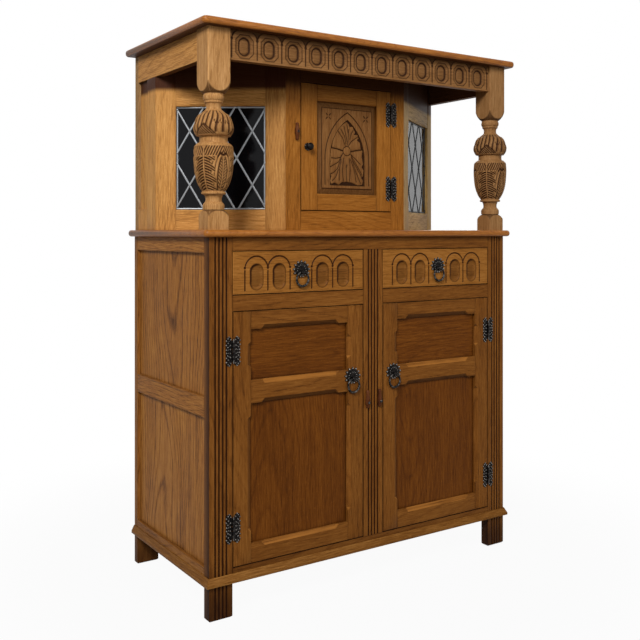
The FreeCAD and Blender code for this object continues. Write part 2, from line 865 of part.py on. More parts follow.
def shelf_cleats():
    z1 = waist_z1 + upper_shelf_z
    x0 = left_x + side_in + wall_t
    x1 = left_x + side_in + rear_stile_w
    y0 = front_y + cant_y + mitre_outer()
    side = box(x0, x0 + cleat, y0, rear_y, z1 - cleat, z1)
    post = box(x0 + cleat, x1, rear_y - cleat, rear_y, z1 - cleat, z1)
    return [side, post] + mirrored([side, post])


# Upper door: framed, with a fielded panel and a sunk pointed arch

def upper_door_edges():
    half = centre_half - centre_stile - door_gap
    return (-half, half, waist_z1 + centre_low_h + door_gap, canopy_z - centre_top_h - door_gap)


def upper_door_opening():
    x0, x1, z0, z1 = upper_door_edges()
    return x0 + upper_stile, x1 - upper_stile, z0 + upper_rail, z1 - upper_rail


def upper_panel_tongue():
    x0, x1, z0, z1 = upper_door_opening()
    y = front_y + centre_y + field_recess
    return box(x0 - tongue, x1 + tongue, y, y + door_panel_t, z0 - tongue, z1 + tongue)


def upper_door_frame():
    x0, x1, z0, z1 = upper_door_edges()
    a, b, c, d = upper_door_opening()
    y0 = front_y + centre_y
    y1 = y0 + door_t
    pieces = [box(x0, a, y0, y1, z0, z1), box(b, x1, y0, y1, z0, z1),
              box(a, b, y0, y1, z0, c), box(a, b, y0, y1, d, z1)]
    return [p.cut(upper_panel_tongue()) for p in pieces]


def pointed_arch(half, rise, y, z_foot, z_spring, depth):
    r = (rise * rise + half * half) / (2 * half)
    sweep = math.acos((r - half) / r)
    right = [V(half, y, z_foot)]
    for i in range(arch_steps):
        turn = sweep * i / arch_steps
        right.append(V(r * math.cos(turn) - r + half, y, z_spring + r * math.sin(turn)))
    left = [V(-p.x, y, p.z) for p in reversed(right)]
    return prism(right + [V(0, y, z_spring + rise)] + left, V(0, depth, 0))


def upper_door_panel():
    a, b, c, d = upper_door_opening()
    y0 = front_y + centre_y
    s = field_slope_w

    def outline(inset, y):
        return [V(a + inset, y, c + inset), V(b - inset, y, c + inset),
                V(b - inset, y, d - inset), V(a + inset, y, d - inset)]

    slope = loft([outline(0, y0 + field_recess), outline(s, y0 + field_in + field_step)])
    field = box(a + s, b - s, y0 + field_in, y0 + field_in + field_step, c + s, d - s)
    panel = upper_panel_tongue().fuse([slope, field]).removeSplitter()
    foot = c + s + arch_foot
    spring = foot + arch_spring
    face = y0 + field_in
    outer = pointed_arch(arch_half, arch_rise, face, foot, spring, line_d)
    ring = pointed_arch(arch_half - arch_line, arch_rise - arch_line, face, foot, spring, line_d)
    sunk = pointed_arch(arch_in_half, arch_in_rise, face, foot, spring, arch_sink)
    return panel.cut(outer.cut(ring)).cut(sunk)


# Ironwork

def leaf_plate(side):
    def place(across, high):
        return V(side * leaf_w * across, -leaf_t, leaf_h * high)

    low = [place(across, high) for across, high in leaf_shares]
    high = [place(across, -high) for across, high in reversed(leaf_shares)]
    leaf = prism(low + high, V(0, leaf_t, 0))
    holes = []
    for across, high in pierce_shares:
        c = place(across, high)
        corners = [V(c.x - pierce_r, c.y, c.z), V(c.x, c.y, c.z - pierce_r),
                   V(c.x + pierce_r, c.y, c.z), V(c.x, c.y, c.z + pierce_r)]
        holes.append(prism(corners, V(0, leaf_t, 0)))
    return leaf.cut(holes)


def knuckle(z0, z1):
    tube = turned([(knuckle_r, z0), (knuckle_r, z1)], small_sides)
    return tube.translated(V(0, -knuckle_r - knuckle_off, 0))


def hinge_half(side, spans, free_spans):
    reach = knuckle_r + knuckle_off
    notches = [box(-reach, reach, -leaf_t, 0, z0 - knuckle_gap, z1 + knuckle_gap) for z0, z1 in free_spans]
    return leaf_plate(side).cut(notches).fuse([knuckle(z0, z1) for z0, z1 in spans]).removeSplitter()


# Fixed half with its pin riveted in, and the half on the door that turns on it

def hinge(x, y, z, door_side):
    third = barrel_h / 3
    ends = [(-barrel_h / 2, -third / 2 - knuckle_gap), (third / 2 + knuckle_gap, barrel_h / 2)]
    middle = [(-third / 2, third / 2)]
    foot = V(0, -knuckle_r - knuckle_off, -third)
    pin = Part.makeCylinder(pin_r, 2 * third, foot, up)
    bore = Part.makeCylinder(pin_r + pin_fit, 2 * third, foot, up)
    fixed = hinge_half(-door_side, ends, middle).fuse(pin).removeSplitter()
    moving = hinge_half(door_side, middle, ends).cut(bore)
    return [half.translated(V(x, y, z)) for half in (fixed, moving)]


def lower_hinges():
    x = open_x0 + door_gap / 2
    ends = hinge_in_share * door_open_h
    return [hinge(x, front_y, z, 1) for z in (door_z0 + ends, door_z1 - ends)]


def upper_hinges():
    x = centre_half - centre_stile - door_gap / 2
    x0, x1, z0, z1 = upper_door_edges()
    ends = upper_hinge_share * (z1 - z0)
    return [hinge(x, front_y + centre_y, z, -1) for z in (z0 + ends, z1 - ends)]


def backplate(x, y, z):
    t = plate_rim_t
    right = [V(plate_w * w, -t, plate_up + plate_h * h) for w, h in plate_leaf_shares]
    left = [V(-p.x, p.y, p.z) for p in reversed(right)]
    top, foot = V(0, -t, plate_up + plate_h / 2), V(0, -t, plate_up - plate_h / 2)
    leaf = prism([top] + right + [foot] + left, V(0, t, 0))
    wide = plate_w * plate_boss_share
    boss = turned([(wide, 0), (wide - plate_t + t, plate_t)], small_sides)
    boss.rotate(V(0, 0, 0), along_x, 90)
    boss.translate(V(0, 0, plate_up))
    lug = turned([(lug_r, 0), (lug_r, lug_w)], small_sides)
    lug.rotate(V(0, 0, 0), along_y, 90)
    lug.translate(V(-lug_w / 2, -ring_out, 0))
    neck = box(-lug_w / 2, lug_w / 2, -ring_out, -t / 2, -lug_r, lug_r)
    eye = Part.makeCylinder(ring_bar_r + ring_fit, lug_w, V(-lug_w / 2, -ring_out, 0), along_x)
    plate = leaf.fuse([boss, lug, neck]).removeSplitter().cut(eye)
    plate.translate(V(x, y, z))
    return plate


def pull_ring(x, y, z):
    half = ring_bar / 2
    drop = math.sqrt(ring_r * ring_r - half * half)
    gap = math.asin(half / ring_r)
    outlines = []
    for i in range(bow_steps + 1):
        turn = gap + (2 * math.pi - 2 * gap) * i / bow_steps
        way = V(math.sin(turn), 0, math.cos(turn))
        across = (up if i in (0, bow_steps) else way) * ring_wire
        deep = along_y * ring_wire
        outlines.append([way * ring_r + across * math.cos(a) + deep * math.sin(a)
                         for a in full_turns(small_sides)])
    bar = turned([(ring_bar_r, -half), (ring_bar_r, half)], small_sides)
    bar.rotate(V(0, 0, 0), along_y, 90)
    ring = loft(outlines).fuse(bar.translated(V(0, 0, drop))).removeSplitter()
    return ring.translated(V(x, y - ring_out, z - drop))


def door_pull_place():
    z = door_z0 + door_gap + door_mid_z + door_mid_h / 2 + door_pull_up
    return open_x1 - door_gap - pull_in, front_y, z


def drawer_pull_place():
    return (open_x0 + open_x1) / 2, front_y, (drawer_z0 + drawer_z1) / 2 + drawer_pull_up


def door_knob():
    x0, x1, z0, z1 = upper_door_edges()
    points = [(knob_r * r, knob_out * out) for r, out in knob_shares]
    knob = turned(points, knob_sides)
    knob.rotate(V(0, 0, 0), along_x, 90)
    knob.translate(V(x0 + upper_stile * knob_in_share, front_y + centre_y, (z0 + z1) / 2))
    return knob


# Turn button standing upright, clear of the door; its screw is fixed in the stile

def turn_button(x, y, z, long_arm, short_arm):
    half = button_w / 2
    y0 = -button_off - button_t
    y1 = -button_off

    def outline(y, size_share):
        low = [(w * size_share, -short_arm * out) for w, out in reversed(button_shares)]
        right = low + [(w * size_share, long_arm * out) for w, out in button_shares]
        return [V(half * w, y, z) for w, z in right] + [V(-half * w, y, z) for w, z in reversed(right)]

    body = loft([outline(y0, button_face_share), outline(y1, 1)])
    hole_l = button_t + 2 * overrun
    body = body.cut(Part.makeCylinder(screw_r + screw_fit, hole_l, V(0, y0 - overrun, 0), along_y))
    body.translate(V(x, y, z))
    return body


def button_screw(x, y, z):
    end = button_off + button_t + run_clear
    collar = turned([(collar_r, 0), (collar_r, button_off - run_clear)], small_sides)
    head = turned([(screw_head_r, end), (screw_head_r * screw_tip_share, end + screw_head_h)], small_sides)
    shank = Part.makeCylinder(screw_r, end, V(0, 0, 0), up)
    screw = collar.fuse([shank, head]).removeSplitter()
    screw.rotate(V(0, 0, 0), along_x, 90)
    screw.translate(V(x, y, z))
    return screw


def button_places():
    low_z = door_z0 + door_gap + door_mid_z - button_drop
    x0, x1, z0, z1 = upper_door_edges()
    upper = (-centre_half + centre_stile - button_in, front_y + centre_y, (z0 + z1) / 2 + upper_button_up)
    return [(open_x1 + button_in, front_y, low_z), (-open_x1 - button_in, front_y, low_z), upper]


def build():
    os.makedirs("parts", exist_ok=True)
    save("top_board", [nosed_board(top_over, canopy_z, top_z)])
    save("waist_board", [nosed_board(waist_over, waist_z0, waist_z1)])
    post, rear = front_post(), rear_post()
    save("front_post_left", [post])
    save("front_post_right", mirrored([post]))
    save("rear_post_left", [rear])
    save("rear_post_right", mirrored([rear]))
    save("side_rails_left", side_rails())
    save("side_rails_right", mirrored(side_rails()))
    save("side_panels_left", side_panels())
    save("side_panels_right", mirrored(side_panels()))
    save("front_rails", front_rails())
    save("centre_muntin", [centre_muntin()])
    save("base_moulding", base_moulding())
    save("rear_rails", rear_rails())
    save("lower_back_panel", [lower_back_panel()])
    save("cupboard_floor", [cupboard_floor()])
    save("cupboard_shelf", [cupboard_shelf()])
    save("shelf_bearers", bearers() + shelf_cleats())
    save("drawer_runners", drawer_runners() + drawer_kickers())
    save("door_stops", door_stops())
    frame, panels = door_frame(), door_panels()
    save("door_left_frame", frame)
    save("door_left_panels", panels)
    save("door_right_frame", mirrored(frame))
    save("door_right_panels", mirrored(panels))
    front, tray = drawer_front(), drawer_box()
    save("drawer_left_front", [front])
    save("drawer_left_box", tray)
    save("drawer_right_front", mirrored([front]))
    save("drawer_right_box", mirrored(tray))
    save("frieze_front", [frieze_front()])
    save("frieze_sides", [frieze_side()] + mirrored([frieze_side()]))
    carried = baluster()
    save("baluster_left", [carried])
    save("baluster_right", mirrored([carried]))
    cant = canted_frame() + glazing_beads()
    save("canted_frame_left", cant)
    save("canted_frame_right", mirrored(cant))
    save("window_glass_left", [pane()])
    save("window_glass_right", mirrored([pane()]))
    net = lead_lattice()
    save("lead_lattice_left", [net])
    save("lead_lattice_right", mirrored([net]))
    side = return_frame() + [return_panel()]
    save("return_frames", side + mirrored(side))
    save("upper_front_frame", centre_frame())
    save("upper_back_frame", upper_back_frame())
    save("upper_back_panel", [upper_back_panel()])
    save("upper_shelf", [upper_shelf()])
    save("upper_door_frame", upper_door_frame())
    save("upper_door_panel", [upper_door_panel()])
    save("upper_door_knob", [door_knob()])
    low, high = lower_hinges(), upper_hinges()
    still = [h[0] for h in low]
    still = still + mirrored(still) + [h[0] for h in high]
    save("hinge_leaves_fixed", still)
    door_iron = [h[1] for h in low] + [backplate(*door_pull_place())]
    save("door_left_ironwork", door_iron)
    save("door_right_ironwork", mirrored(door_iron))
    save("upper_door_hinge_leaves", [h[1] for h in high])
    plate, door_ring = backplate(*drawer_pull_place()), pull_ring(*door_pull_place())
    drawer_ring = pull_ring(*drawer_pull_place())
    save("drawer_left_pull_plate", [plate])
    save("drawer_right_pull_plate", mirrored([plate]))
    save("door_left_pull_ring", [door_ring])
    save("door_right_pull_ring", mirrored([door_ring]))
    save("drawer_left_pull_ring", [drawer_ring])
    save("drawer_right_pull_ring", mirrored([drawer_ring]))
    places = button_places()
    even = (button_l + button_s) / 2
    save("turn_button_left", [turn_button(*places[0], button_l, button_s)])
    save("turn_button_right", [turn_button(*places[1], button_l, button_s)])
    save("turn_button_upper", [turn_button(*places[2], even, even)])
    save("turn_button_screws", [button_screw(*place) for place in places])


if __name__ == "__main__":
    build()
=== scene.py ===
import bpy
import bmesh
import json
import math
import numpy as np
from mathutils import Vector, Matrix

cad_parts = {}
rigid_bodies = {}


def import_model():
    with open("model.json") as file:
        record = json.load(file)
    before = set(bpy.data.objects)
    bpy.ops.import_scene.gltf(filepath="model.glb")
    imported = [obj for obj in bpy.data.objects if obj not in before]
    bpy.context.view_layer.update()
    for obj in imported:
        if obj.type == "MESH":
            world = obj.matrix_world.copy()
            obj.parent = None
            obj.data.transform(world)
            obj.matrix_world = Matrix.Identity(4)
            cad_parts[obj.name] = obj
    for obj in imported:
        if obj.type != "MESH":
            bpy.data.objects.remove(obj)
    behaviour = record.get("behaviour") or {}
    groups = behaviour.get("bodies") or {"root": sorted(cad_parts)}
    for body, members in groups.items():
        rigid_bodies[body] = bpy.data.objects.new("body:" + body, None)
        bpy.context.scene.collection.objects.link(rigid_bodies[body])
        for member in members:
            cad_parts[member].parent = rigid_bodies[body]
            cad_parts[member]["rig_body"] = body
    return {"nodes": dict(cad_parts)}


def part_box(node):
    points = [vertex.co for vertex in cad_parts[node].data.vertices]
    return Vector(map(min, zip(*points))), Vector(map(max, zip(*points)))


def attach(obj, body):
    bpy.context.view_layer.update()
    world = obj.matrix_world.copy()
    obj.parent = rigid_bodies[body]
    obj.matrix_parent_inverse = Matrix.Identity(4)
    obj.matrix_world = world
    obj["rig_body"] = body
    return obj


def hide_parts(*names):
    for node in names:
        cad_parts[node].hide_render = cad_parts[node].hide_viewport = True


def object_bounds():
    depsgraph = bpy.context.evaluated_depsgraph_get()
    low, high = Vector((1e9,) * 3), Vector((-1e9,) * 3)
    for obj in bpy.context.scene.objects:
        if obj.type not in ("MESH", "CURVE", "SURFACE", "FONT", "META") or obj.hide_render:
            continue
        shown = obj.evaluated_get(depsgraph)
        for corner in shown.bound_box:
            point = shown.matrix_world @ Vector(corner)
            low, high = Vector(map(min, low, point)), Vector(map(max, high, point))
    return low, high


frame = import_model()
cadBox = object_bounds()
scene = bpy.context.scene
nodes = frame["nodes"]
bodyOf = {name: obj["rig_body"] for name, obj in nodes.items()}
print("frame loaded")


def colour(r, g, b, a=1.0):  # screen values 0 to 255 into linear light
    parts = [v / 255 / 12.92 if v <= 10.3 else ((v / 255 + 0.055) / 1.055) ** 2.4 for v in (r, g, b)]
    return (*parts, a)


# One socket of a node tree. Sums written with it add their own Math nodes.
class Sock:
    def __init__(self, paint, socket):
        self.paint, self.socket = paint, socket

    def math(self, operation, *others):
        return self.paint.node("ShaderNodeMath", dict(operation=operation), [self, *others])

    def out(self, name):  # another output of the same node
        return Sock(self.paint, self.socket.node.outputs[name])

    def __add__(self, other):
        return self.math("ADD", other)

    def __sub__(self, other):
        return self.math("SUBTRACT", other)

    def __mul__(self, other):
        return self.math("MULTIPLY", other)

    def __truediv__(self, other):
        return self.math("DIVIDE", other)

    def __rsub__(self, other):
        return self.paint.node("ShaderNodeMath", dict(operation="SUBTRACT"), [other, self])

    def __pow__(self, power):
        return self.math("POWER", power)

    __radd__, __rmul__ = __add__, __mul__


class Paint:  # one material and its node tree
    def __init__(self, name):
        self.material = bpy.data.materials.new(name)
        self.material.use_nodes = True
        self.tree = self.material.node_tree
        self.tree.nodes.clear()

    def node(self, kind, settings=None, values=(), out=0):  # a list among the values is several links
        made = self.tree.nodes.new(kind)
        for key, value in (settings or {}).items():
            if key == "stops":
                ramp = made.color_ramp
                while len(ramp.elements) < len(value):
                    ramp.elements.new(0.5)
                for stop, (place, shade) in zip(ramp.elements, value):
                    stop.position, stop.color = place, shade
            else:
                setattr(made, key, value)
        for key, value in values.items() if isinstance(values, dict) else enumerate(values):
            if isinstance(value, (Sock, list)):
                for one in [value] if isinstance(value, Sock) else value:
                    self.tree.links.new(one.socket, made.inputs[key])
            else:
                made.inputs[key].default_value = value
        return Sock(self, made.outputs[out]) if len(made.outputs) else None

    def finish(self, shader):
        self.node("ShaderNodeOutputMaterial", None, {"Surface": shader})
        return self.material


class Shape(Paint):  # a geometry node tree. Its numbers are named inputs, set on the modifier.
    def __init__(self, name, **kinds):
        self.tree = bpy.data.node_groups.new(name, "GeometryNodeTree")
        for label, kind in dict(Geometry="Geometry", **kinds).items():
            self.tree.interface.new_socket(label, in_out="INPUT", socket_type="NodeSocket" + kind)
        self.tree.interface.new_socket("Geometry", in_out="OUTPUT", socket_type="NodeSocketGeometry")
        self.start = self.node("NodeGroupInput")

    def finish(self, geometry, material):
        real = self.node("GeometryNodeRealizeInstances", None, [geometry])
        painted = self.node("GeometryNodeSetMaterial", None, {"Geometry": real, "Material": material})
        self.node("NodeGroupOutput", None, [painted])
        return self.tree


def evaluated(obj):  # the object's mesh with its modifiers taken in
    return bpy.data.meshes.new_from_object(obj.evaluated_get(bpy.context.evaluated_depsgraph_get()))


def grown(mesh, tree, values):  # what a geometry node tree makes of a mesh, as a plain mesh
    obj = bpy.data.objects.new(mesh.name, mesh)
    scene.collection.objects.link(obj)
    mod = obj.modifiers.new(tree.name, "NODES")
    mod.node_group = tree
    for label, value in values.items():
        mod[tree.interface.items_tree[label].identifier] = value
    made = evaluated(obj)
    bpy.data.objects.remove(obj)
    return made


def blend(paint, factor, a, b):  # colours a and b through a Mix node
    settings = dict(data_type="RGBA", blend_type="MIX", clamp_factor=True)
    return paint.node("ShaderNodeMix", settings, {0: factor, 6: a, 7: b}, out=2)


def fade(paint, value, low, high, start=0.0, end=1.0):  # a smooth step from low to high
    settings = dict(interpolation_type="SMOOTHSTEP")
    return paint.node("ShaderNodeMapRange", settings, [value, low, high, start, end])


def attribute(paint, name, out="Fac"):
    return paint.node("ShaderNodeAttribute", dict(attribute_name=name), out=out)


def split(paint, vector):
    parts = paint.node("ShaderNodeSeparateXYZ", None, [vector])
    return [parts.out(k) for k in range(3)]


def vectorMath(paint, operation, values, out=0):
    return paint.node("ShaderNodeVectorMath", dict(operation=operation), values, out)


def noise(paint, vector, scale, detail=2.0, rough=0.5, twist=0.0):
    values = {"Vector": vector, "Scale": scale, "Detail": detail, "Roughness": rough, "Distortion": twist}
    return paint.node("ShaderNodeTexNoise", None, values)


def grainNoise(paint, vector, along, across, detail=2.0, rough=0.5, twist=0.0):
    scaled = vectorMath(paint, "MULTIPLY", [vector, (along, across, across)])
    return noise(paint, scaled, 1.0, detail, rough, twist)


def bumped(paint, strength, distance, height):
    values = {"Strength": strength, "Distance": distance, "Height": height}
    return paint.node("ShaderNodeBump", None, values, out="Normal")


# Finishes of the oak. dark, mid and light are screen colours of the stained wood; a finish names
# only what differs from the usual one. A painted shadow darkens the wood over the heights of the
# canopy's shade, and painted shade darkens it near the floor.
usualOak = dict(figure=0.6, rings=0.0052, bold=0.7, rim=0.10, rimWidth=0.006, wearAndHighlight=0.35, rough=0.46, gleam=0.05,
                lowShade=0.0, canopy=0.0, canopyFrom=1.2, canopyFull=1.3, slot="oak_frame")
# the finishes under the canopy take its painted shadow
underCanopy = dict(canopy=0.96, canopyFrom=1.241, canopyFull=1.256)
oakFinishes = {
    "frame": dict(dark=(63, 33, 8), mid=(114, 68, 24), light=(142, 92, 39), rim=0.14, rings=0.0075, rough=0.44,
                  lowShade=0.75),
    "side": dict(dark=(88, 51, 19), mid=(146, 93, 40), light=(175, 120, 58), figure=0.8, rim=0.22, rings=0.0090,
                 bold=1.0, wearAndHighlight=0.6, lowShade=0.75),
    "sidePanel": dict(dark=(78, 44, 15), mid=(146, 92, 38), light=(178, 123, 60), figure=1.25, rings=0.0108,
                      bold=1.05, rim=0.55, rimWidth=0.012, lowShade=0.75),
    "pale": dict(dark=(114, 73, 34), mid=(176, 122, 62), light=(210, 156, 90), rings=0.0085, bold=0.9),
    "canted": dict(dark=(114, 73, 34), mid=(184, 129, 67), light=(216, 163, 96), **underCanopy),
    "cantedRight": dict(dark=(110, 82, 44), mid=(176, 141, 84), light=(206, 172, 114), rings=0.0085, bold=0.9,
                        **underCanopy),
    "moulding": dict(dark=(62, 35, 11), mid=(114, 71, 25), light=(152, 106, 52), figure=0.5, rim=0.0, wearAndHighlight=1.0,
                     rough=0.44, slot="oak_board"),
    "middle": dict(dark=(91, 53, 16), mid=(140, 86, 29), light=(168, 111, 46), canopy=0.88, canopyFrom=1.235,
                   canopyFull=1.275),
    "upper": dict(dark=(91, 53, 16), mid=(140, 86, 29), light=(168, 111, 46), canopy=0.45, canopyFrom=1.225,
                  canopyFull=1.275),
    "board": dict(dark=(89, 47, 13), mid=(148, 88, 31), light=(178, 116, 49), rim=0.0, wearAndHighlight=0.55, rough=0.38,
                  gleam=0.16, slot="oak_board"),
    "panel": dict(dark=(56, 26, 4), mid=(95, 51, 12), light=(122, 71, 21), rim=0.5, rimWidth=0.016, rings=0.0065,
                  wearAndHighlight=0.2, rough=0.42, slot="oak_panel"),
    "drawer": dict(dark=(83, 46, 15), mid=(139, 88, 34), light=(167, 113, 53), figure=0.4, rimWidth=0.005,
                   wearAndHighlight=0.4, rough=0.42, slot="oak_drawer"),
    "carved": dict(dark=(69, 42, 19), mid=(127, 87, 48), light=(154, 112, 70), figure=0.4, rim=0.0, rough=0.48,
                   slot="oak_panel"),
    "rosette": dict(dark=(58, 32, 12), mid=(114, 74, 37), light=(142, 100, 56), figure=0.4, rim=0.0, rough=0.48,
                    slot="oak_panel"),
    "plain": dict(dark=(110, 80, 48), mid=(158, 122, 80), light=(186, 150, 104), figure=0.45, rimWidth=0.01,
                  wearAndHighlight=0.1, rough=0.62, slot="oak_plain"),
    "button": dict(dark=(34, 14, 6), mid=(74, 38, 18), light=(112, 66, 36), figure=0.3, rim=0.0, rimWidth=0.01,
                   wearAndHighlight=0.6, rough=0.42, slot="dark_wood"),
    "turned": dict(dark=(98, 62, 30), mid=(163, 117, 68), light=(196, 150, 98), figure=0.35, rim=0.0,
                   rimWidth=0.01, wearAndHighlight=0.4, rough=0.5, slot="oak_turned"),
    # the turned oak with painted shade, for the right-hand post
    "turnedRight": dict(dark=(82, 52, 26), mid=(137, 97, 57), light=(166, 126, 82), figure=0.35, rim=0.0,
                        rimWidth=0.01, wearAndHighlight=0.4, rough=0.5, slot="oak_turned"),
}
oakFinishes = {name: {**usualOak, **look} for name, look in oakFinishes.items()}


def oakMaterial(name, look):
    p = Paint("oak_" + name)
    grain, spot, half = [attribute(p, label, "Vector") for label in ("grain", "spot", "half")]
    tone, edge, stain = [attribute(p, label) for label in ("tone", "edge", "stain")]

    # growth rings round a pith that wanders along the board, cut as arches on the flat faces
    drift = grainNoise(p, grain, 2.2, 3.0, 1.0)
    sway = grainNoise(p, grain, 7.0, 16.0, 1.5)
    x, y, z = split(p, grain)
    y = y + (drift - 0.5) * 0.16
    z = z + x * 0.06
    radius = (y * y + z * z) ** 0.5
    turn = (radius + (sway - 0.5) * 0.007) / look["rings"]
    ring = turn.math("FRACT")
    pores = fade(p, ring, 0.0, 0.28, 1.0, 0.0) + fade(p, ring, 0.86, 1.0, 0.0, 0.6)
    broad = (turn / 5.3).math("FRACT")
    broad = fade(p, broad, 0.0, 0.5) - fade(p, broad, 0.5, 1.0)

    streak = grainNoise(p, grain, 2.5, 130.0, 3.0, 0.6)
    fine = grainNoise(p, grain, 26.0, 420.0, 2.0, 0.6)
    dash = grainNoise(p, grain, 60.0, 1300.0, 1.0)
    cloud = grainNoise(p, grain, 5.0, 11.0, 3.0)
    fleck = grainNoise(p, grain, 150.0, 380.0, 1.0, 0.5, 0.8)

    dashes = fade(p, dash, 0.56, 0.68) * (0.35 + 0.65 * pores)
    bold, figure = look["bold"], look["figure"]
    tint = 0.5 + 0.08 * bold + (streak - 0.5) * (0.6 * bold) + (fine - 0.5) * (1.25 * bold)
    tint = tint + (cloud - 0.5) * 0.4 - pores * (0.26 * figure * bold) + (broad - 0.5) * (0.10 * figure)
    tint = tint + fade(p, fleck, 0.60, 0.72) * 0.14 + tone * 0.03 - dashes * (0.40 * bold)
    stops = [(place, colour(*look[key])) for place, key in ((0.08, "dark"), (0.5, "mid"), (0.92, "light"))]
    base = p.node("ShaderNodeValToRGB", dict(stops=stops), [tint])

    # darker where boards meet and round the panels: polish gathered in the joints, and painted shade
    # where rails overhang the recessed panels; edges are rubbed pale, and up-facing chamfers get a
    # painted highlight
    inset = split(p, vectorMath(p, "SUBTRACT", [half, vectorMath(p, "ABSOLUTE", [spot])]))
    near = inset[0].math("MINIMUM", inset[1]) + (cloud - 0.5) * (look["rimWidth"] * 0.9)
    # dark joints, with painted shade at the edges of recessed panels
    rim = fade(p, near, 0.0, look["rimWidth"], look["rim"], 0.0)
    level = split(p, p.node("ShaderNodeTexCoord", out="Object"))[2]
    # painted shade: the wood darkens towards the floor
    lowShade = fade(p, level + (cloud - 0.5) * 0.03, 0.02, 0.15, look["lowShade"], 0.0)
    # painted shadow of the canopy over the heights it shades
    paintedCanopyShadow = fade(p, level, look["canopyFrom"], look["canopyFull"], 0.0, look["canopy"])
    # the stain attribute darkens both real stain and painted shade
    dark = (1 - rim) * (1 - lowShade) * (1 - paintedCanopyShadow) * (1 - stain.math("MINIMUM", 1.0) * 0.92)
    shaded = blend(p, 1.0 - dark, base, colour(*[v * k for v, k in zip(look["dark"], (0.44, 0.24, 0.24))]))
    # edges rubbed pale, and a painted highlight on up-facing chamfers through the edge attribute
    rubbedAndHighlit = edge * fade(p, streak * 0.5 + cloud * 0.5, 0.38, 0.6) * look["wearAndHighlight"]
    worn = blend(p, rubbedAndHighlit, shaded, colour(*[min(255, v * 1.14) for v in look["light"]]))

    normal = bumped(p, 0.35, 0.0002, (fine - 0.5) * 0.35 - dashes * 1.0 - pores * 0.25)
    roughness = look["rough"] + (cloud - 0.5) * 0.16 + dashes * 0.16 + stain * 0.12
    return p.finish(p.node("ShaderNodeBsdfPrincipled", None, {
        "Base Color": worn, "Roughness": roughness, "Normal": normal, "Specular IOR Level": look["gleam"]}))


def ironMaterial(name, body, high, rough):
    p = Paint(name)
    place = p.node("ShaderNodeTexCoord", out="Object")
    grit = noise(p, place, 900.0, 3.0)
    cloud = noise(p, place, 160.0, 2.0)
    # black worn off the raised iron, partly a painted highlight
    mask = fade(p, attribute(p, "edge") * 0.75 + (cloud - 0.5) * 0.9 + (grit - 0.5) * 0.4, 0.35, 0.85)
    shade = blend(p, mask, colour(*body), colour(*high))
    shade = blend(p, fade(p, cloud, 0.55, 0.8, 0.0, 0.35), shade, colour(64, 44, 30))
    return p.finish(p.node("ShaderNodeBsdfPrincipled", None, {
        "Base Color": shade, "Metallic": 0.9 - mask * 0.1, "Roughness": rough + (grit - 0.5) * 0.3,
        "Normal": bumped(p, 0.4, 0.0003, grit)}))


def glassMaterial(name, shade, clear, gleam):
    p = Paint(name)
    place = p.node("ShaderNodeTexCoord", out="Object")
    wave = noise(p, place, 22.0, 1.0)
    dust = noise(p, place, 240.0, 3.0)
    return p.finish(p.node("ShaderNodeBsdfPrincipled", None, {
        "Base Color": colour(*shade), "Roughness": 0.06 + dust * 0.05, "Normal": bumped(p, 0.25, 0.002, wave),
        "Specular IOR Level": gleam, "Alpha": clear}))


materials = {name: oakMaterial(name, look) for name, look in oakFinishes.items()}
materials["iron"] = ironMaterial("antique_iron", (21, 18, 17), (112, 108, 103), 0.40)
# one lead in two copies: painted light on the left window's cames, painted shade on the right's
materials["leadLight"] = ironMaterial("lead_painted_light", (128, 130, 132), (188, 190, 192), 0.45)
materials["leadDark"] = ironMaterial("lead_painted_shade", (52, 54, 55), (92, 94, 96), 0.5)
# one glass in two copies: painted shade on the left pane, a painted reflection on the right
materials["glassPaintedShade"] = glassMaterial("glass_painted_shade", (9, 9, 12), 0.94, 0.16)
materials["glassPaintedReflection"] = glassMaterial("glass_painted_reflection", (14, 14, 15), 0.9, 0.5)
slots = {name: look["slot"] for name, look in oakFinishes.items()}
slots.update(iron="antique_iron", leadLight="lead_came", leadDark="lead_came")
print("materials made")

gridSteps = 2e5  # to the metre; corners on the same step meet


def solidsOf(mesh):  # the triangles of a CAD node, one list for each closed solid
    spots = [tuple(round(c * gridSteps) for c in v.co) for v in mesh.vertices]
    found, current, open_ = [], [], set()
    for face in mesh.polygons:
        corners = [spots[i] for i in face.vertices]
        current.append(corners)
        for a, b in zip(corners, corners[1:] + corners[:1]):
            if (b, a) in open_:
                open_.discard((b, a))
            elif a != b:
                open_.add((a, b))
        if not open_:
            found.append(current)
            current = []
    return found + [current] * bool(current)


# Ground plan run of a canted window frame, and how tall a squarish board is for upright grain
grainWays = dict(cantBack=0.1955, cantOut=0.270, upright=0.8)


def grainFrame(points, canted):  # along, across and through, longest extent first
    turn = 0.0 if canted is None else math.atan2(grainWays["cantBack"], grainWays["cantOut"])
    flat = Vector((math.cos(turn), math.sin(turn) * (-1 if canted == 0 else 1), 0))
    spans = []
    for way in (flat, Vector((-flat.y, flat.x, 0)), Vector((0, 0, 1))):
        reach = [p.dot(way) for p in points]
        spans.append((max(reach) - min(reach), way, (max(reach) + min(reach)) / 2))
    upSpan = spans[2]
    spans.sort(key=lambda s: -s[0])
    if upSpan[0] > grainWays["upright"] * spans[0][0]:
        spans.remove(upSpan)
        spans.insert(0, upSpan)
    return spans


def drawsOf(node):  # each node has random draws of its own
    return np.random.default_rng(sum(map(ord, node)))


def setValues(mesh, name, values, domain="POINT"):
    mesh.attributes.new(name, "FLOAT", domain).data.foreach_set("value", values)
    return mesh


def readValues(items, name, wide=1):
    values = np.zeros(len(items) * wide, float if wide > 1 else int)
    items.foreach_get(name, values)
    return values.reshape(-1, wide) if wide > 1 else values


def present(obj, node, finish):  # material and body of a finished piece
    obj.data.materials.clear()
    obj.data.materials.append(materials[finish])
    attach(obj, bodyOf[node])
    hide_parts(node)


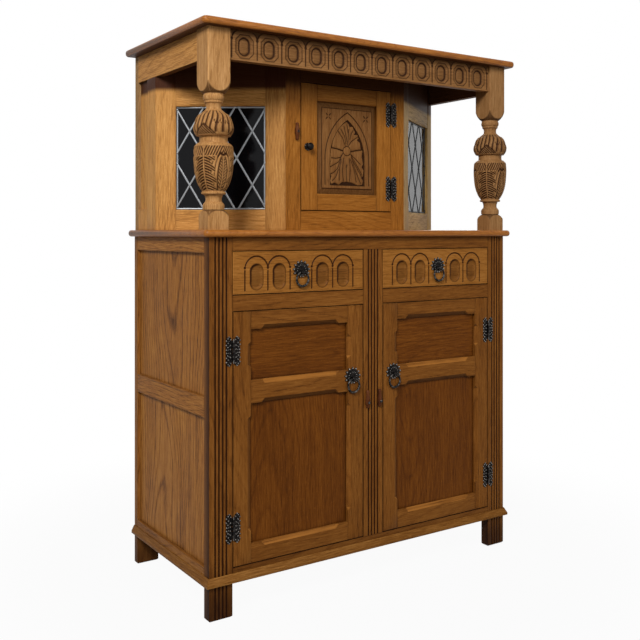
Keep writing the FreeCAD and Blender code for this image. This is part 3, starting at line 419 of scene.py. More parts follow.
def paintBoard(mesh, spans, rng):
    count = len(mesh.vertices)
    spot = readValues(mesh.vertices, "co", 3) @ np.array([s[1] for s in spans]).T
    spot = spot - np.array([s[2] for s in spans])
    along, side = rng.uniform(-4, 4), rng.choice([-1, 1])
    shift = np.array([along, side * rng.uniform(0.02, 0.13), rng.uniform(-0.05, 0.05)])
    for name, data in (("grain", spot + shift), ("spot", spot),
                       ("half", np.tile([s[0] / 2 for s in spans], (count, 1)))):
        mesh.attributes.new(name, "FLOAT_VECTOR", "POINT").data.foreach_set("vector", data.ravel())
    setValues(mesh, "tone", np.full(count, rng.uniform(-1, 1)))


# Edges of the sawn boards are eased by a small round
boards = dict(ease=0.0009, segments=2, shortest=0.004, sharp=25.0, room=2.2, flat=0.6, weight=60)


def easeEdges(bm, s):
    edges = []
    for e in bm.edges:
        soft = e.calc_face_angle(0) < math.radians(s["sharp"])
        if len(e.link_faces) != 2 or e.calc_length() < s["shortest"] or soft:
            continue
        around = [o for v in e.verts for o in v.link_edges if o is not e]
        if min(o.calc_length() for o in around) > s["ease"] * s["room"]:
            edges.append(e)
    if not edges:
        return set()
    return set(bmesh.ops.bevel(bm, geom=edges, offset=s["ease"], offset_type="OFFSET", profile=0.5,
                               segments=s["segments"], affect="EDGES", clamp_overlap=True)["faces"])


def boardMesh(triangles, canted, rng, s):
    bm = bmesh.new()
    lookup = {}
    for corners in triangles:
        verts = []
        for c in corners:
            if c not in lookup:
                lookup[c] = bm.verts.new([v / gridSteps for v in c])
            if lookup[c] not in verts:
                verts.append(lookup[c])
        if len(verts) == 3 and not bm.faces.get(verts):
            bm.faces.new(verts)
    bmesh.ops.dissolve_limit(bm, angle_limit=math.radians(s["flat"]), verts=bm.verts[:], edges=bm.edges[:],
                             delimit={"NORMAL"})
    spans = grainFrame([v.co for v in bm.verts], canted)
    eased = easeEdges(bm, s)
    bm.normal_update()
    layer = bm.faces.layers.float.new("edge")
    for f in bm.faces:
        f.smooth = True
        f[layer] = 1.0 if f in eased else 0.0
    mesh = bpy.data.meshes.new("board")
    bm.to_mesh(mesh)
    bm.free()
    paintBoard(mesh, spans, rng)
    return mesh


def joinMeshes(name, meshes):
    made = [bpy.data.objects.new(name, m) for m in meshes]
    for o in made:
        scene.collection.objects.link(o)
    if len(made) > 1:
        with bpy.context.temp_override(active_object=made[0], selected_editable_objects=made):
            bpy.ops.object.join()
    made[0].name = name
    return made[0]


def weighNormals(obj):
    mod = obj.modifiers.new("weigh", "WEIGHTED_NORMAL")
    mod.keep_sharp, mod.weight = False, boards["weight"]
    mesh = evaluated(obj)
    obj.modifiers.clear()
    obj.data = mesh
    return obj


# Darkened places: the hollows of the reeds; painted shade on undersides and in the gap round a
# door; a painted highlight and painted shade on the chamfers; painted shade on one canted stile
shade = dict(reeds=("front_post", "centre_muntin"), reedDeep=0.0005, reedEnd=0.004,
             under=("top_board", "frieze_sides"), underShade=0.9,
             leaves=("door_left_frame", "door_right_frame", "upper_door_frame", "drawer_left_front",
                     "drawer_right_front"),
             around=("front_post", "centre_muntin", "front_rails", "upper_front_frame"), gapReach=0.003,
             gapDeep=0.00015, gapEnd=0.006,
             slopes=("door_left_frame", "door_right_frame", "upper_door_frame"), slopeFrom=0.3, slopeTo=0.93,
             slopeHighlight=2.2, slopeShade=0.55,
             farStile="canted_frame_left", farStileFrom=-0.26, farStileShade=0.28)


def shadeBoard(node, mesh, low):
    points = readValues(mesh.vertices, "co", 3)
    x, z = points[:, 0], points[:, 2]
    deep = points[:, 1] - low.y
    stain = np.zeros(len(points))
    if node.startswith(shade["reeds"]):
        stain[(deep > shade["reedDeep"]) & (deep < shade["reedEnd"])] = 1.0
    # painted shade in the gap round each door and drawer front, on its sides and on the reveals
    reach = shade["gapReach"]
    behind = (deep > shade["gapDeep"]) & (deep < shade["gapEnd"])
    for leaf in shade["leaves"]:
        a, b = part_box(leaf)
        grow = -reach / 2 if node == leaf else reach
        inside = (x > a.x - grow) & (x < b.x + grow) & (z > a.z - grow) & (z < b.z + grow)
        if node == leaf:
            stain[~inside & behind] = 1.0
        elif node.startswith(shade["around"]):
            stain[inside & behind] = 1.0
    # painted shade over the far stile of the left canted frame
    if node == shade["farStile"] and x.min() > shade["farStileFrom"]:
        stain = np.maximum(stain, shade["farStileShade"])
    sizes = readValues(mesh.polygons, "loop_total")
    nx, ny, nz = readValues(mesh.polygons, "normal", 3).T
    stain = stain[readValues(mesh.loops, "vertex_index")]
    # painted shade on the undersides, and on the inner faces of the frieze sides
    if node.startswith(shade["under"]):
        inward = (nx * np.sign(x.mean()) < -0.9) & (node != "top_board")
        stain[np.repeat((nz < -0.95) | inward, sizes)] = shade["underShade"]
    # chamfers of the doors: a painted highlight where they face up, painted shade where they face down
    if node.startswith(shade["slopes"]):
        front = (ny < -shade["slopeFrom"]) & (ny > -shade["slopeTo"])
        edge = np.zeros(len(mesh.polygons))
        mesh.attributes["edge"].data.foreach_get("value", edge)
        edge[front & (nz > shade["slopeFrom"])] = shade["slopeHighlight"]
        mesh.attributes["edge"].data.foreach_set("value", edge)
        stain[np.repeat(front & (nz < -shade["slopeFrom"]), sizes)] = shade["slopeShade"]
    setValues(mesh, "stain", stain, "CORNER")


def dressBoards(node, finish, canted=None):
    rng = drawsOf(node)
    made = [boardMesh(t, canted, rng, boards) for t in solidsOf(nodes[node].data)]
    for mesh in made:
        shadeBoard(node, mesh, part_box(node)[0])
    present(weighNormals(joinMeshes(node + "_wood", made)), node, finish)


woodNodes = [
    ("board", "top_board waist_board"), ("moulding", "base_moulding"),
    ("frame", "front_post_left front_post_right centre_muntin front_rails door_left_frame door_right_frame"),
    ("side", "rear_post_left rear_post_right side_rails_left side_rails_right"),
    ("sidePanel", "side_panels_left side_panels_right"), ("panel", "door_left_panels door_right_panels"),
    ("pale", "frieze_sides"), ("canted", "return_frames"), ("middle", "upper_front_frame"),
    ("upper", "upper_door_frame"), ("canted", "canted_frame_left"), ("cantedRight", "canted_frame_right"),
    ("plain", "upper_back_frame upper_back_panel upper_shelf rear_rails lower_back_panel cupboard_floor "
              "cupboard_shelf shelf_bearers drawer_runners door_stops drawer_left_box drawer_right_box"),
]
canted = {"canted_frame_left": 0, "canted_frame_right": 1}
for finish, names in woodNodes:
    for node in names.split():
        dressBoards(node, finish, canted.get(node))
print("boards dressed")

# Carved boards: a fine grid over the face of the CAD board, sunk by a drawing of the carving
reliefRim = dict(ease=0.0009, steps=(0.0, 0.0003, 0.0007, 0.0012), inner=0.0018)


def easeLines(low, high, step):
    rim, inner = np.array(reliefRim["steps"]), reliefRim["inner"]
    count = max(2, round((high - low - 2 * inner) / step))
    return np.concatenate([low + rim, np.linspace(low + inner, high - inner, count + 1), high - rim[::-1]])


def smooth(value):
    t = np.clip(value, 0, 1)
    return t * t * (3 - 2 * t)


def groove(distance, width, deep):
    return deep * np.clip(1 - distance / (width / 2), 0, 1)


def ridgeLine(distance, width):
    return np.exp(-(distance / width) ** 2)


def lineDistance(x, z, points, closed=False):
    found = np.full(x.shape, 1e9)
    ends = points[1:] + points[:1] if closed else points[1:]
    for (ax, az), (bx, bz) in zip(points, ends):
        dx, dz = bx - ax, bz - az
        t = np.clip(((x - ax) * dx + (z - az) * dz) / (dx * dx + dz * dz), 0, 1)
        found = np.minimum(found, np.hypot(x - ax - t * dx, z - az - t * dz))
    return found


def insideOf(x, z, points):
    inside = np.zeros(x.shape, bool)
    for (ax, az), (bx, bz) in zip(points, points[1:] + points[:1]):
        if az != bz:
            inside ^= ((az > z) != (bz > z)) & (x < ax + (z - az) * (bx - ax) / (bz - az))
    return inside


def stadium(x, z, wide, high):  # distance to an upright oval with round ends, negative inside
    return np.hypot(x, np.maximum(np.abs(z) - (high - wide) / 2, 0)) - wide / 2


def rimOf(x, z, low, high):  # distance to the nearest edge of the board
    return np.minimum(np.minimum(x - low.x, high.x - x), np.minimum(z - low.z, high.z - z))


def most(*values):
    found = values[0]
    for value in values[1:]:
        found = np.maximum(found, value)
    return found


def reliefMesh(name, low, high, step, carving):
    xs, zs = easeLines(low.x, high.x, step), easeLines(low.z, high.z, step)
    x, z = np.meshgrid(xs, zs, indexing="ij")
    sunk, stain = carving(x, z, low, high)
    ease, rim = reliefRim["ease"], rimOf(x, z, low, high)
    turn = ease - np.sqrt(np.maximum(ease ** 2 - np.maximum(ease - rim, 0) ** 2, 0))
    y = low.y + np.maximum(sunk, turn)
    front = np.stack([x, y, z], -1).reshape(-1, 3)
    at = np.arange(x.size).reshape(x.shape)
    quads = np.stack([at[:-1, :-1], at[1:, :-1], at[1:, 1:], at[:-1, 1:]], -1).reshape(-1, 4)
    loop = list(at[:, 0]) + list(at[-1, 1:]) + list(at[-2::-1, -1]) + list(at[0, -2:0:-1])
    back = front[loop].copy()
    back[:, 1] = high.y
    base, count = x.size, len(loop)
    sides = [(loop[(k + 1) % count], loop[k], base + k, base + (k + 1) % count) for k in range(count)]
    faces = quads.tolist() + sides + [tuple(base + k for k in reversed(range(count)))]
    mesh = bpy.data.meshes.new(name)
    mesh.from_pydata(np.vstack([front, back]).tolist(), [], faces)
    setValues(mesh, "stain", np.concatenate([stain.ravel(), np.zeros(count)]))
    edges = np.zeros(len(faces))
    edges[:len(quads)] = rim.ravel()[quads[:, 0]] < ease
    return setValues(mesh, "edge", edges, "FACE")


def carvedBoard(node, finish, step, carving):
    low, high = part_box(node)
    mesh = reliefMesh(node + "_carved", low, high, step, carving)
    paintBoard(mesh, grainFrame([low, high], None), drawsOf(node))
    showCarved(node, mesh, finish)


def showCarved(node, mesh, finish):
    mesh.polygons.foreach_set("use_smooth", np.ones(len(mesh.polygons), bool))
    mesh.set_sharp_from_angle(angle=math.radians(42))
    obj = bpy.data.objects.new(node + "_carved", mesh)
    scene.collection.objects.link(obj)
    present(obj, node, finish)


# Drawer fronts: four arches on columns with a scooped oval in each, and a plain bay for the pull
arcade = dict(margin=0.0325, inset=0.0015, bays=5, line=0.0044, lineDeep=0.0021, lineTop=0.0065, bead=0.0037,
              foot=0.0095, column=0.0525, rise=0.027, archFrom=0.002, pit=0.0016, collar=0.0052,
              collarWide=0.0036, collarLine=0.0014, collarDeep=0.0008, ovalWide=0.035, ovalHigh=0.061,
              ovalDeep=0.0052, ovalSlope=0.0082, ovalLift=0.6, gougeHigh=0.011, soft=0.0012, lineDarkWidth=0.0017,
              ovalDarkWidth=0.0018, darkSoft=0.001, shadow=(0.0075, 0.005), shadowSoft=0.006, step=0.00068)


def carveArcade(x, z, low, high):
    s = arcade
    pitch = (high.x - low.x - 2 * s["margin"] + 2 * s["inset"]) / s["bays"]
    first = low.x + s["margin"] - s["inset"]
    foot = low.z + s["foot"] - s["inset"]
    spring = foot + s["column"]
    sunk, stain = np.zeros(x.shape), np.zeros(x.shape)
    for i in range(s["bays"] + 1):
        cx = first + i * pitch
        line = lineDistance(x, z, [(cx, foot), (cx, spring - s["lineTop"])])
        cut = groove(line, s["line"], s["lineDeep"])
        bead = s["bead"] - np.hypot(x - cx, z - spring)
        pit = s["pit"] * smooth(bead / s["soft"])
        collar = groove(np.abs(z - spring + s["collar"]), s["collarLine"], s["collarDeep"])
        sunk = most(sunk, cut, pit, collar * (np.abs(x - cx) < s["collarWide"]))
        stain = most(stain, smooth(1.6 - line / s["lineDarkWidth"]), 1.2 * smooth(bead / s["darkSoft"]))
    for i in range(s["bays"]):
        if i == s["bays"] // 2:
            continue
        cx = first + (i + 0.5) * pitch
        half = pitch / 2
        r = (half * half + s["rise"] ** 2) / (2 * s["rise"])
        arch = np.abs(np.hypot(x - cx, z - spring - s["rise"] + r) - r)
        arch = np.where((z > spring + s["archFrom"]) & (np.abs(x - cx) < half), arch, 1.0)
        sunk = np.maximum(sunk, groove(arch, s["line"], s["lineDeep"]))
        u, w = x - cx, z - foot - s["column"] * s["ovalLift"]
        inside = -stadium(u, w, s["ovalWide"], s["ovalHigh"])
        t = np.clip(inside / s["ovalSlope"], 0, 1)
        gouge = 1 - 0.3 * smooth(1.6 - np.abs(w) / s["gougeHigh"])
        sunk = np.maximum(sunk, s["ovalDeep"] * (1 - (1 - t) ** 2.2) * gouge)
        # painted shadow on the upper left wall of each oval, and painted shade over its hollow
        wall = stadium(u - s["shadow"][0], w + s["shadow"][1], s["ovalWide"], s["ovalHigh"])
        hollow = 0.46 + 0.7 * smooth((wall + s["darkSoft"]) / s["shadowSoft"])
        stain = most(stain, smooth(1.6 - arch / s["lineDarkWidth"]),
                     0.75 * smooth(1.2 - np.abs(inside) / s["ovalDarkWidth"]), smooth(inside / s["soft"]) * hollow)
    return sunk, np.clip(stain, 0, 1.2)


# Frieze: twelve eight-sided niches with an oval in each, and forked lines between them
frieze = dict(end=0.465, bays=12, first=0.060, wide=0.048, high=0.055, corner=0.012, deep=0.0024, slope=0.0055,
              low=0.006, ovalWide=0.032, ovalHigh=0.045, ovalDeep=0.0024, ovalSlope=0.0032, ovalRim=0.003,
              ovalRise=0.006, line=0.0034, lineDeep=0.0018, lineHigh=0.044, bead=0.0032, beadDeep=0.0012,
              fork=0.024, forkLine=0.0032, forkDeep=0.0020, spandrelDeep=0.0010, soft=0.0012,
              lineDarkWidth=0.0020, beadDarkReach=0.0042, darkSoft=0.001, ovalDark=0.0024, ovalDarkWidth=0.0026,
              nicheSoft=0.003, nicheDark=0.0006, nicheDarkWidth=0.0015, forkDarkWidth=0.0022, shade=0.55,
              shadeHigh=0.014, step=0.001)


def carveFrieze(x, z, low, high):
    s = frieze
    start = -s["end"] + s["first"]
    pitch = -2 * start / s["bays"]
    foot = low.z + s["low"]
    middle = foot + s["high"] / 2
    top = foot + s["lineHigh"]
    # towards the top edge: painted shadow of the top board, with dark stain
    sunk, stain = np.zeros(x.shape), s["shade"] * smooth((z - high.z + s["shadeHigh"]) / s["shadeHigh"])
    for i in range(s["bays"] + 1):
        cx = start + i * pitch
        line = lineDistance(x, z, [(cx, foot), (cx, top)])
        bead = np.hypot(x - cx, z - top)
        pit = s["beadDeep"] * smooth((s["bead"] - bead) / s["soft"])
        sunk = most(sunk, groove(line, s["line"], s["lineDeep"]), pit)
        darkBead = smooth((s["beadDarkReach"] - bead) / s["darkSoft"])
        stain = most(stain, smooth(1.35 - line / s["lineDarkWidth"]), darkBead)
    for i in range(s["bays"]):
        cx = start + (i + 0.5) * pitch
        u, w = np.abs(x - cx), np.abs(z - middle)
        inside = -np.maximum(np.maximum(u - s["wide"] / 2, w - s["high"] / 2),
                             (u + w - s["wide"] / 2 - s["high"] / 2 + s["corner"]) / math.sqrt(2))
        depth = s["deep"] * smooth(inside / s["slope"])
        oval = -stadium(x - cx, z - middle, s["ovalWide"], s["ovalHigh"])
        depth = depth + s["ovalDeep"] * smooth(oval / s["ovalSlope"])
        depth = depth - 0.75 * s["ovalDeep"] * smooth((oval - s["ovalRim"]) / s["ovalRise"])
        reach, above = np.hypot((x - cx) / (pitch / 2), (z - top) / s["fork"]), (z > top) & (u < pitch / 2)
        fork = np.where(above, np.abs(reach - 1) * s["fork"] * 1.2, 1.0)
        spandrel = above & (reach > 1)
        sunk = most(sunk, depth, groove(fork, s["forkLine"], s["forkDeep"]), s["spandrelDeep"] * spandrel)
        # the spandrels are darkened, partly painted shadow of the top board and partly stain
        stain = most(stain, smooth(1.45 - np.abs(oval - s["ovalDark"]) / s["ovalDarkWidth"]),
                     0.25 * smooth(inside / s["nicheSoft"]),
                     0.85 * smooth(1.4 - np.abs(inside - s["nicheDark"]) / s["nicheDarkWidth"]),
                     smooth(1.3 - fork / s["forkDarkWidth"]), 0.75 * spandrel)
    return sunk, np.clip(stain, 0, 1.2)


# Upper door panel: raised field, pointed arch and a rosette of leaves. Leaf lines are millimetres
# from the middle of the arch and above its foot.
rosette = dict(
    step=0.00082, tongue=0.006, slope=0.016, slopeDeep=0.0075, fieldStep=0.0015, archFoot=0.008, spring=0.070,
    half=0.0715, rise=0.124, archLine=0.0032, archDeep=0.0018, innerHalf=0.0565, innerRise=0.105, sink=3.4,
    boss=(-0.5, 92.0, 11.5), bossMoat=1.4, sprigDeep=0.0016, petalHalf=2.3, petalFrom=1.2, fieldSoft=0.0012,
    fieldDark=0.0008, fieldDarkWidth=0.0018, archDarkWidth=0.0019, wall=0.0011, wallDark=(-0.0006, 0.0014),
    outline=[(-1, 170), (6, 164), (9, 157), (19, 158), (27, 144), (24, 137), (36, 137), (39, 128), (34, 123),
             (43, 117), (46, 100), (51, 98), (52, 93), (49, 80), (54, 60), (49, 51), (55, 43), (54, 28), (48, 22),
             (53, 16), (51, 4), (36, 1), (20, 7), (3, 10), (-16, 9), (-27, 1), (-39, 7), (-50, 3), (-54, 10),
             (-50, 23), (-55, 31), (-55, 48), (-53, 62), (-54, 74), (-53, 88), (-51, 96), (-48, 100), (-47, 115),
             (-42, 135), (-31, 149), (-19, 158), (-6, 167)],
    wide=[[(-12, 92), (-30, 96), (-50, 99)], [(12, 91), (30, 95), (50, 98)], [(0, 55), (-1, 49)]],
    veins=[[(-11, 88), (-22, 74), (-36, 71), (-50, 72)], [(-16, 80), (-27, 62), (-42, 54), (-56, 47)],
           [(-20, 70), (-30, 45), (-42, 34), (-57, 28)], [(-28, 42), (-36, 22), (-47, 12)],
           [(-18, 70), (-24, 45), (-25, 14)], [(-11, 72), (-14, 40), (-12, 12)], [(-1, 48), (-2, 28), (-1, 11)],
           [(9, 72), (11, 40), (9, 12)], [(12, 70), (24, 42), (31, 10)], [(15, 76), (28, 40), (45, 7)],
           [(14, 80), (30, 58), (50, 30)], [(12, 84), (28, 72), (44, 58)], [(20, 66), (38, 40), (52, 20)],
           [(4, 104), (14, 118), (36, 132)], [(0, 104), (4, 122), (6, 150)], [(-4, 104), (-14, 126), (-28, 143)],
           [(-3, 112), (-8, 132), (-20, 150)], [(0, 118), (-4, 138), (-10, 158)], [(4, 140), (2, 152), (0, 164)],
           [(10, 124), (14, 138), (20, 148)]],
    sprig=(61, 181), petal=11.5)


def pointedArch(x, z, half, rise, spring):  # distance to a pointed arch, negative inside
    r = (rise * rise + half * half) / (2 * half)
    curve = np.hypot(np.abs(x) - half + r, z - spring) - r
    return np.where(z > spring, curve, np.abs(x) - half)


def carveRosette(x, z, low, high):
    s = rosette
    rim = rimOf(x, z, low, high)
    t = np.clip((rim - s["tongue"]) / s["slope"], 0, 1)
    edge = s["tongue"] + s["slope"]
    slope = s["slopeDeep"] - (s["slopeDeep"] - s["fieldStep"]) * t
    sunk = np.where(rim < edge, slope, s["fieldStep"] * smooth(1 - (rim - edge) / s["fieldSoft"]))
    stain = 0.75 * smooth(1 - np.abs(rim - edge + s["fieldDark"]) / s["fieldDarkWidth"]) + 0.3 * (rim < edge)
    foot = low.z + edge + s["archFoot"]
    u, w = x - (low.x + high.x) / 2, z - foot
    outer = np.where(w > 0, np.abs(pointedArch(u, w, s["half"], s["rise"], s["spring"])), 1.0)
    sunk = np.maximum(sunk, groove(outer, s["archLine"], s["archDeep"]))
    stain = np.maximum(stain, smooth(1.2 - outer / s["archDarkWidth"]))
    inner = np.minimum(-pointedArch(u, w, s["innerHalf"], s["innerRise"], s["spring"]), w)
    um, wm = u * 1000, w * 1000
    leaf = insideOf(um, wm, s["outline"])
    rimDistance = lineDistance(um, wm, s["outline"], closed=True)
    vein, gap = [np.min([lineDistance(um, wm, line) for line in s[kind]], axis=0) for kind in ("veins", "wide")]
    bx, bz, br = s["boss"]
    boss = np.hypot(um - bx, wm - bz)
    near = np.minimum(vein, np.minimum(gap * 0.8, np.maximum(boss - br, 0)))
    body = 0.9 + 1.1 * np.exp(-near / 3.2) + 1.2 * ridgeLine(vein, 0.75) + 1.5 * ridgeLine(gap, 1.5)
    body = body + 0.6 * np.exp(-rimDistance / 2.0) + 0.12 * np.sin(near * 2.4)
    inBoss = boss < br
    body = np.where(inBoss, 1.7 - 1.75 * np.sqrt(np.clip(1 - (boss / br) ** 2, 0, 1)), body)
    body = np.where((boss >= br) & (boss < br + s["bossMoat"]), 2.5, body)
    ground = s["sink"]
    inside = np.where(leaf | inBoss, np.minimum(body, ground), ground)
    inside = np.where(leaf & ~inBoss, inside + (ground - inside) * smooth(1 - rimDistance / 0.9), inside)
    wall = smooth(inner / s["wall"])
    sunk = np.maximum(sunk, np.where(inner > 0, wall * inside / 1000, 0))
    dark = most(1.15 * ridgeLine(vein, 1.05), 1.2 * ridgeLine(gap, 1.8), 0.35 * np.exp(-near / 2.5))
    dark = np.where(inBoss, 0.0, np.where(boss < br + 1.6, 1.1, np.where(leaf, dark, 1.0)))
    outline = (inner > s["wallDark"][0]) & (inner < s["wallDark"][1])
    stain = most(stain, np.where(inner > 0, dark * wall, 0), np.where(outline, 0.9, 0))
    for side in (-1, 1):
        a, b = um - side * s["sprig"][0], wm - s["sprig"][1]
        p, q = np.abs(a + b) / math.sqrt(2), np.abs(a - b) / math.sqrt(2)
        along, across = np.maximum(p, q) - s["petalFrom"], np.minimum(p, q)
        wide = s["petalHalf"] * np.sin(np.clip(along / s["petal"], 0, 1) * math.pi) ** 0.8
        petal = np.clip(1 - across / np.maximum(wide, 1e-6), 0, 1) * (along > 0) * (along < s["petal"])
        sunk = np.maximum(sunk, s["sprigDeep"] * petal)
        stain = np.maximum(stain, 0.9 * smooth(petal * 1.6))
    return sunk, np.clip(stain, 0, 1.2)


for side in ("left", "right"):
    carvedBoard(f"drawer_{side}_front", "drawer", arcade["step"], carveArcade)
carvedBoard("frieze_front", "carved", frieze["step"], carveFrieze)
carvedBoard("upper_door_panel", "rosette", rosette["step"], carveRosette)
print("carved boards made")

# Turned posts: square blocks with domed tongues, and a leaf-carved cup and cover between them.
# Radii are shares of the bulb's, heights shares of the turned length; four values are an arc.
post = dict(
    x=0.440, y=-0.1825, low=0.890, top=1.352, padTop=0.936, headFoot=1.203, headHalf=0.029, padHalf=0.026,
    bulb=0.046, tip=0.84, domeStart=0.12, headDome=1.15, padDome=0.75, corner=0.0009, around=240,
    carvedStep=0.0009, plainStep=0.0016, blockPast=0.001, crease=0.0008, creaseSoft=0.0012,
    turns=[(0.54, 0.0), (0.55, 0.035), (0.51, 0.052, 0.43, 0.066), (0.405, 0.095, 0.47, 0.13), (0.60, 0.134),
           (0.625, 0.143, 0.60, 0.152), (0.56, 0.157), (0.86, 0.255, 0.985, 0.39), (1.005, 0.47, 0.97, 0.545),
           (0.83, 0.569), (0.72, 0.577), (0.70, 0.603, 0.72, 0.629), (0.85, 0.633), (1.015, 0.685, 0.965, 0.745),
           (0.84, 0.800, 0.64, 0.828), (0.50, 0.847, 0.44, 0.856), (0.40, 0.862), (0.375, 0.888, 0.41, 0.914),
           (0.47, 0.921), (0.47, 0.94), (0.50, 0.942), (0.535, 0.966, 0.50, 0.99), (0.50, 1.0)],
    cup=(0.160, 0.548), cover=(0.636, 0.852), leafTurn=213.0, lobePitch=25.0, barbPitch=6.25, stemPitch=8.0,
    veinPitch=7.0, fanPitch=6.4, hatchPitch=5.6, leafTop=0.76, slimTop=0.74, notch=0.785)


def profileRows(s):  # radius and height of each row, closer together where the post is carved
    length = s["headFoot"] - s["padTop"]
    last = s["turns"][0]
    rows = [last]
    for step in s["turns"][1:]:
        end = step[-2:]
        span = math.hypot((end[0] - last[0]) * s["bulb"], (end[1] - last[1]) * length)
        fine = any(a <= end[1] <= b + 0.01 for a, b in (s["cup"], s["cover"]))
        count = max(2, math.ceil(span / s["carvedStep" if fine else "plainStep"]))
        for k in range(1, count + 1):
            t = k / count
            if len(step) == 4:
                a, b, c = (1 - t) * (1 - 2 * t), 4 * t * (1 - t), t * (2 * t - 1)
                rows.append(tuple(a * p + b * q + c * r for p, q, r in zip(last, step, end)))
            else:
                rows.append(tuple(p + t * (q - p) for p, q in zip(last, end)))
        last = end
    return [(r * s["bulb"], s["padTop"] + h * length, h) for r, h in rows]


def domeRows(s, half, tipZ, rise, end):  # a square block's rows from its dome to its flat end
    edge = half * math.sqrt(2) + s["blockPast"]
    rows = [(half * (s["tip"] + (1 - s["tip"]) * k / 4), s["domeStart"] * rise * k / 4) for k in range(4)]
    for k in range(25):
        t = (k / 24) ** 1.5
        rows.append((half * math.sqrt(1 + 2 * t - t * t), rise * (s["domeStart"] + (1 - s["domeStart"]) * t)))
    rows.append((edge, rise * 1.002))
    rows += [(edge, rise + (abs(end - tipZ) - rise) * k / 4) for k in range(1, 5)]
    return [(r, tipZ + math.copysign(h, end - tipZ), -1.0) for r, h in rows]


halfLeaf = math.pi / 3  # three leaves go round the post


def fromLeaf(turn, s):
    return (turn - math.radians(s["leafTurn"]) + halfLeaf) % (2 * halfLeaf) - halfLeaf


# Depth in millimetres, v from foot to top: three drooping leaves, a slim one between each two
def cupLeaf(turn, radius, v, tall, s):
    off = np.abs(fromLeaf(turn, s))
    arc = off * radius * 1000
    rim = (halfLeaf - off) * radius * 1000
    reach = halfLeaf * radius * 1000
    up = v * tall
    fall = up + 0.22 * arc + 0.010 * arc * arc
    lobe = (fall / s["lobePitch"] + 0.12) % 1
    blade = 10.0 + 19.0 * np.sin(math.pi * lobe) ** 0.8
    barbs = (0.5 + 0.5 * np.cos(2 * math.pi * fall / s["barbPitch"])) ** 1.1
    offRib = smooth((arc - 2.0) / 1.0)
    inLobe = offRib * smooth((blade - arc) / 1.5) * smooth(lobe / 0.10) * smooth((1.02 - lobe) / 0.08)
    body = smooth((s["leafTop"] - v) / 0.04)
    cup = 2.6 * barbs * inLobe * body * (1.15 - 0.35 * arc / reach)
    eye = ridgeLine((lobe - 0.13) * s["lobePitch"], 1.6) * offRib * smooth((20.0 - arc) / 6.0)
    cup = cup + 1.6 * eye * body
    # long stems sweep down outside the barbs to the foot of the leaf
    slim = 4.0 + 7.5 * np.sin(math.pi * np.clip(v / s["slimTop"], 0, 1)) ** 0.8
    sweep = (rim - slim - 5.0) / s["stemPitch"] % 1
    outer = smooth((arc - blade - 0.5) / 1.5) * smooth((rim - slim) / 1.0)
    cup = cup + 1.5 * ridgeLine((sweep - 0.5) * s["stemPitch"], 1.4) * outer * body
    cup = cup + 2.4 * ridgeLine(rim - slim, 1.0) * body
    # the slim leaf between: a stem with veins that rise from it
    vein = ((up - rim) / s["veinPitch"]) % 1
    inSlim = smooth((slim - rim) / 0.8) * smooth((rim - 1.4) / 0.7) * smooth((s["slimTop"] - v) / 0.04)
    cup = cup * (1 - smooth((slim - 1.0 - rim) / 0.8) * body)
    cup = cup + 2.2 * ridgeLine((vein - 0.5) * s["veinPitch"], 1.5) * inSlim
    cup = cup + 1.6 * ridgeLine(rim - 1.9, 0.8) * body
    # midrib, curled tip and the dark notch over the slim leaf
    cup = cup * smooth((arc - 1.1) / 0.8) + 1.4 * ridgeLine(arc - 1.9, 0.7) * smooth((0.95 - v) / 0.04)
    fan = (arc - 0.45 * np.clip(v - s["slimTop"], 0, 1) * tall) / s["fanPitch"] % 1
    tip = smooth((v - 0.75) / 0.03) * smooth((0.985 - v) / 0.02)
    cup = cup + 2.4 * ridgeLine((fan - 0.5) * s["fanPitch"], 1.6) * tip * smooth((arc - 1.0) / 0.8)
    notch = s["notch"] + (6.0 * ridgeLine(rim - 7.5, 4.2) - 0.30 * rim - 1.0) / tall
    return cup + 4.0 * ridgeLine((v - notch) * tall, 2.2) * smooth((16.0 - rim) / 2)


def coverLeaf(turn, radius, v, tall, s):  # falling strands that part over hatched fields at the foot
    off = fromLeaf(turn, s)
    arc, part = off * radius * 1000, np.abs(off) / halfLeaf
    field = 1 - part * 1.6 - v * 2.35
    web = smooth(field * 10)
    sway = np.sin(3 * (turn - math.radians(s["leafTurn"])))
    flow = turn * 21 + 2.6 * (1 - v) * sway + 0.9 * np.sin(v * 6.0)
    strand = (0.5 + 0.5 * np.cos(flow)) ** 1.8
    thin = (0.5 + 0.5 * np.cos(flow * 2 + 1.0)) ** 3
    hatch = (0.5 + 0.5 * np.cos(2 * math.pi * (v * tall * 0.8 + 0.8 * arc) / s["hatchPitch"])) ** 1.3
    cover = (1 - web) * (1.9 * strand + 0.6 * thin) * smooth((v - 0.03) / 0.1) + web * (0.6 + 1.8 * hatch)
    cover = cover + 1.9 * ridgeLine(field * 14, 1.0) * (v < 0.5)
    notch = ridgeLine((v - 0.50 + 0.06 * np.cos(arc * 0.9)) * tall, 1.5) * (np.abs(part - 0.72) < 0.2)
    return cover + 2.3 * notch


def leafCarving(turn, radius, share, s):  # depth in metres, and darkening that follows the depth of the cut, of both carved bulbs
    depth, stain = np.zeros(turn.shape), np.zeros(turn.shape)
    length = (s["headFoot"] - s["padTop"]) * 1000
    bulbs = (s["cup"], cupLeaf, 0.015, 0.70), (s["cover"], coverLeaf, 0.05, 0.58)
    for (low, high), carving, end, dark in bulbs:
        v = (share - low) / (high - low)
        cut = carving(turn, radius, v, (high - low) * length, s)
        cut = cut * smooth(v / 0.02) * smooth((1 - v) / end)
        inside = (v > 0) & (v < 1)
        depth = np.where(inside, np.clip(cut, 0, 4.0), depth)
        stain = np.where(inside, np.clip(cut * dark - 0.12, 0, 1.1), stain)
    return depth / 1000, stain


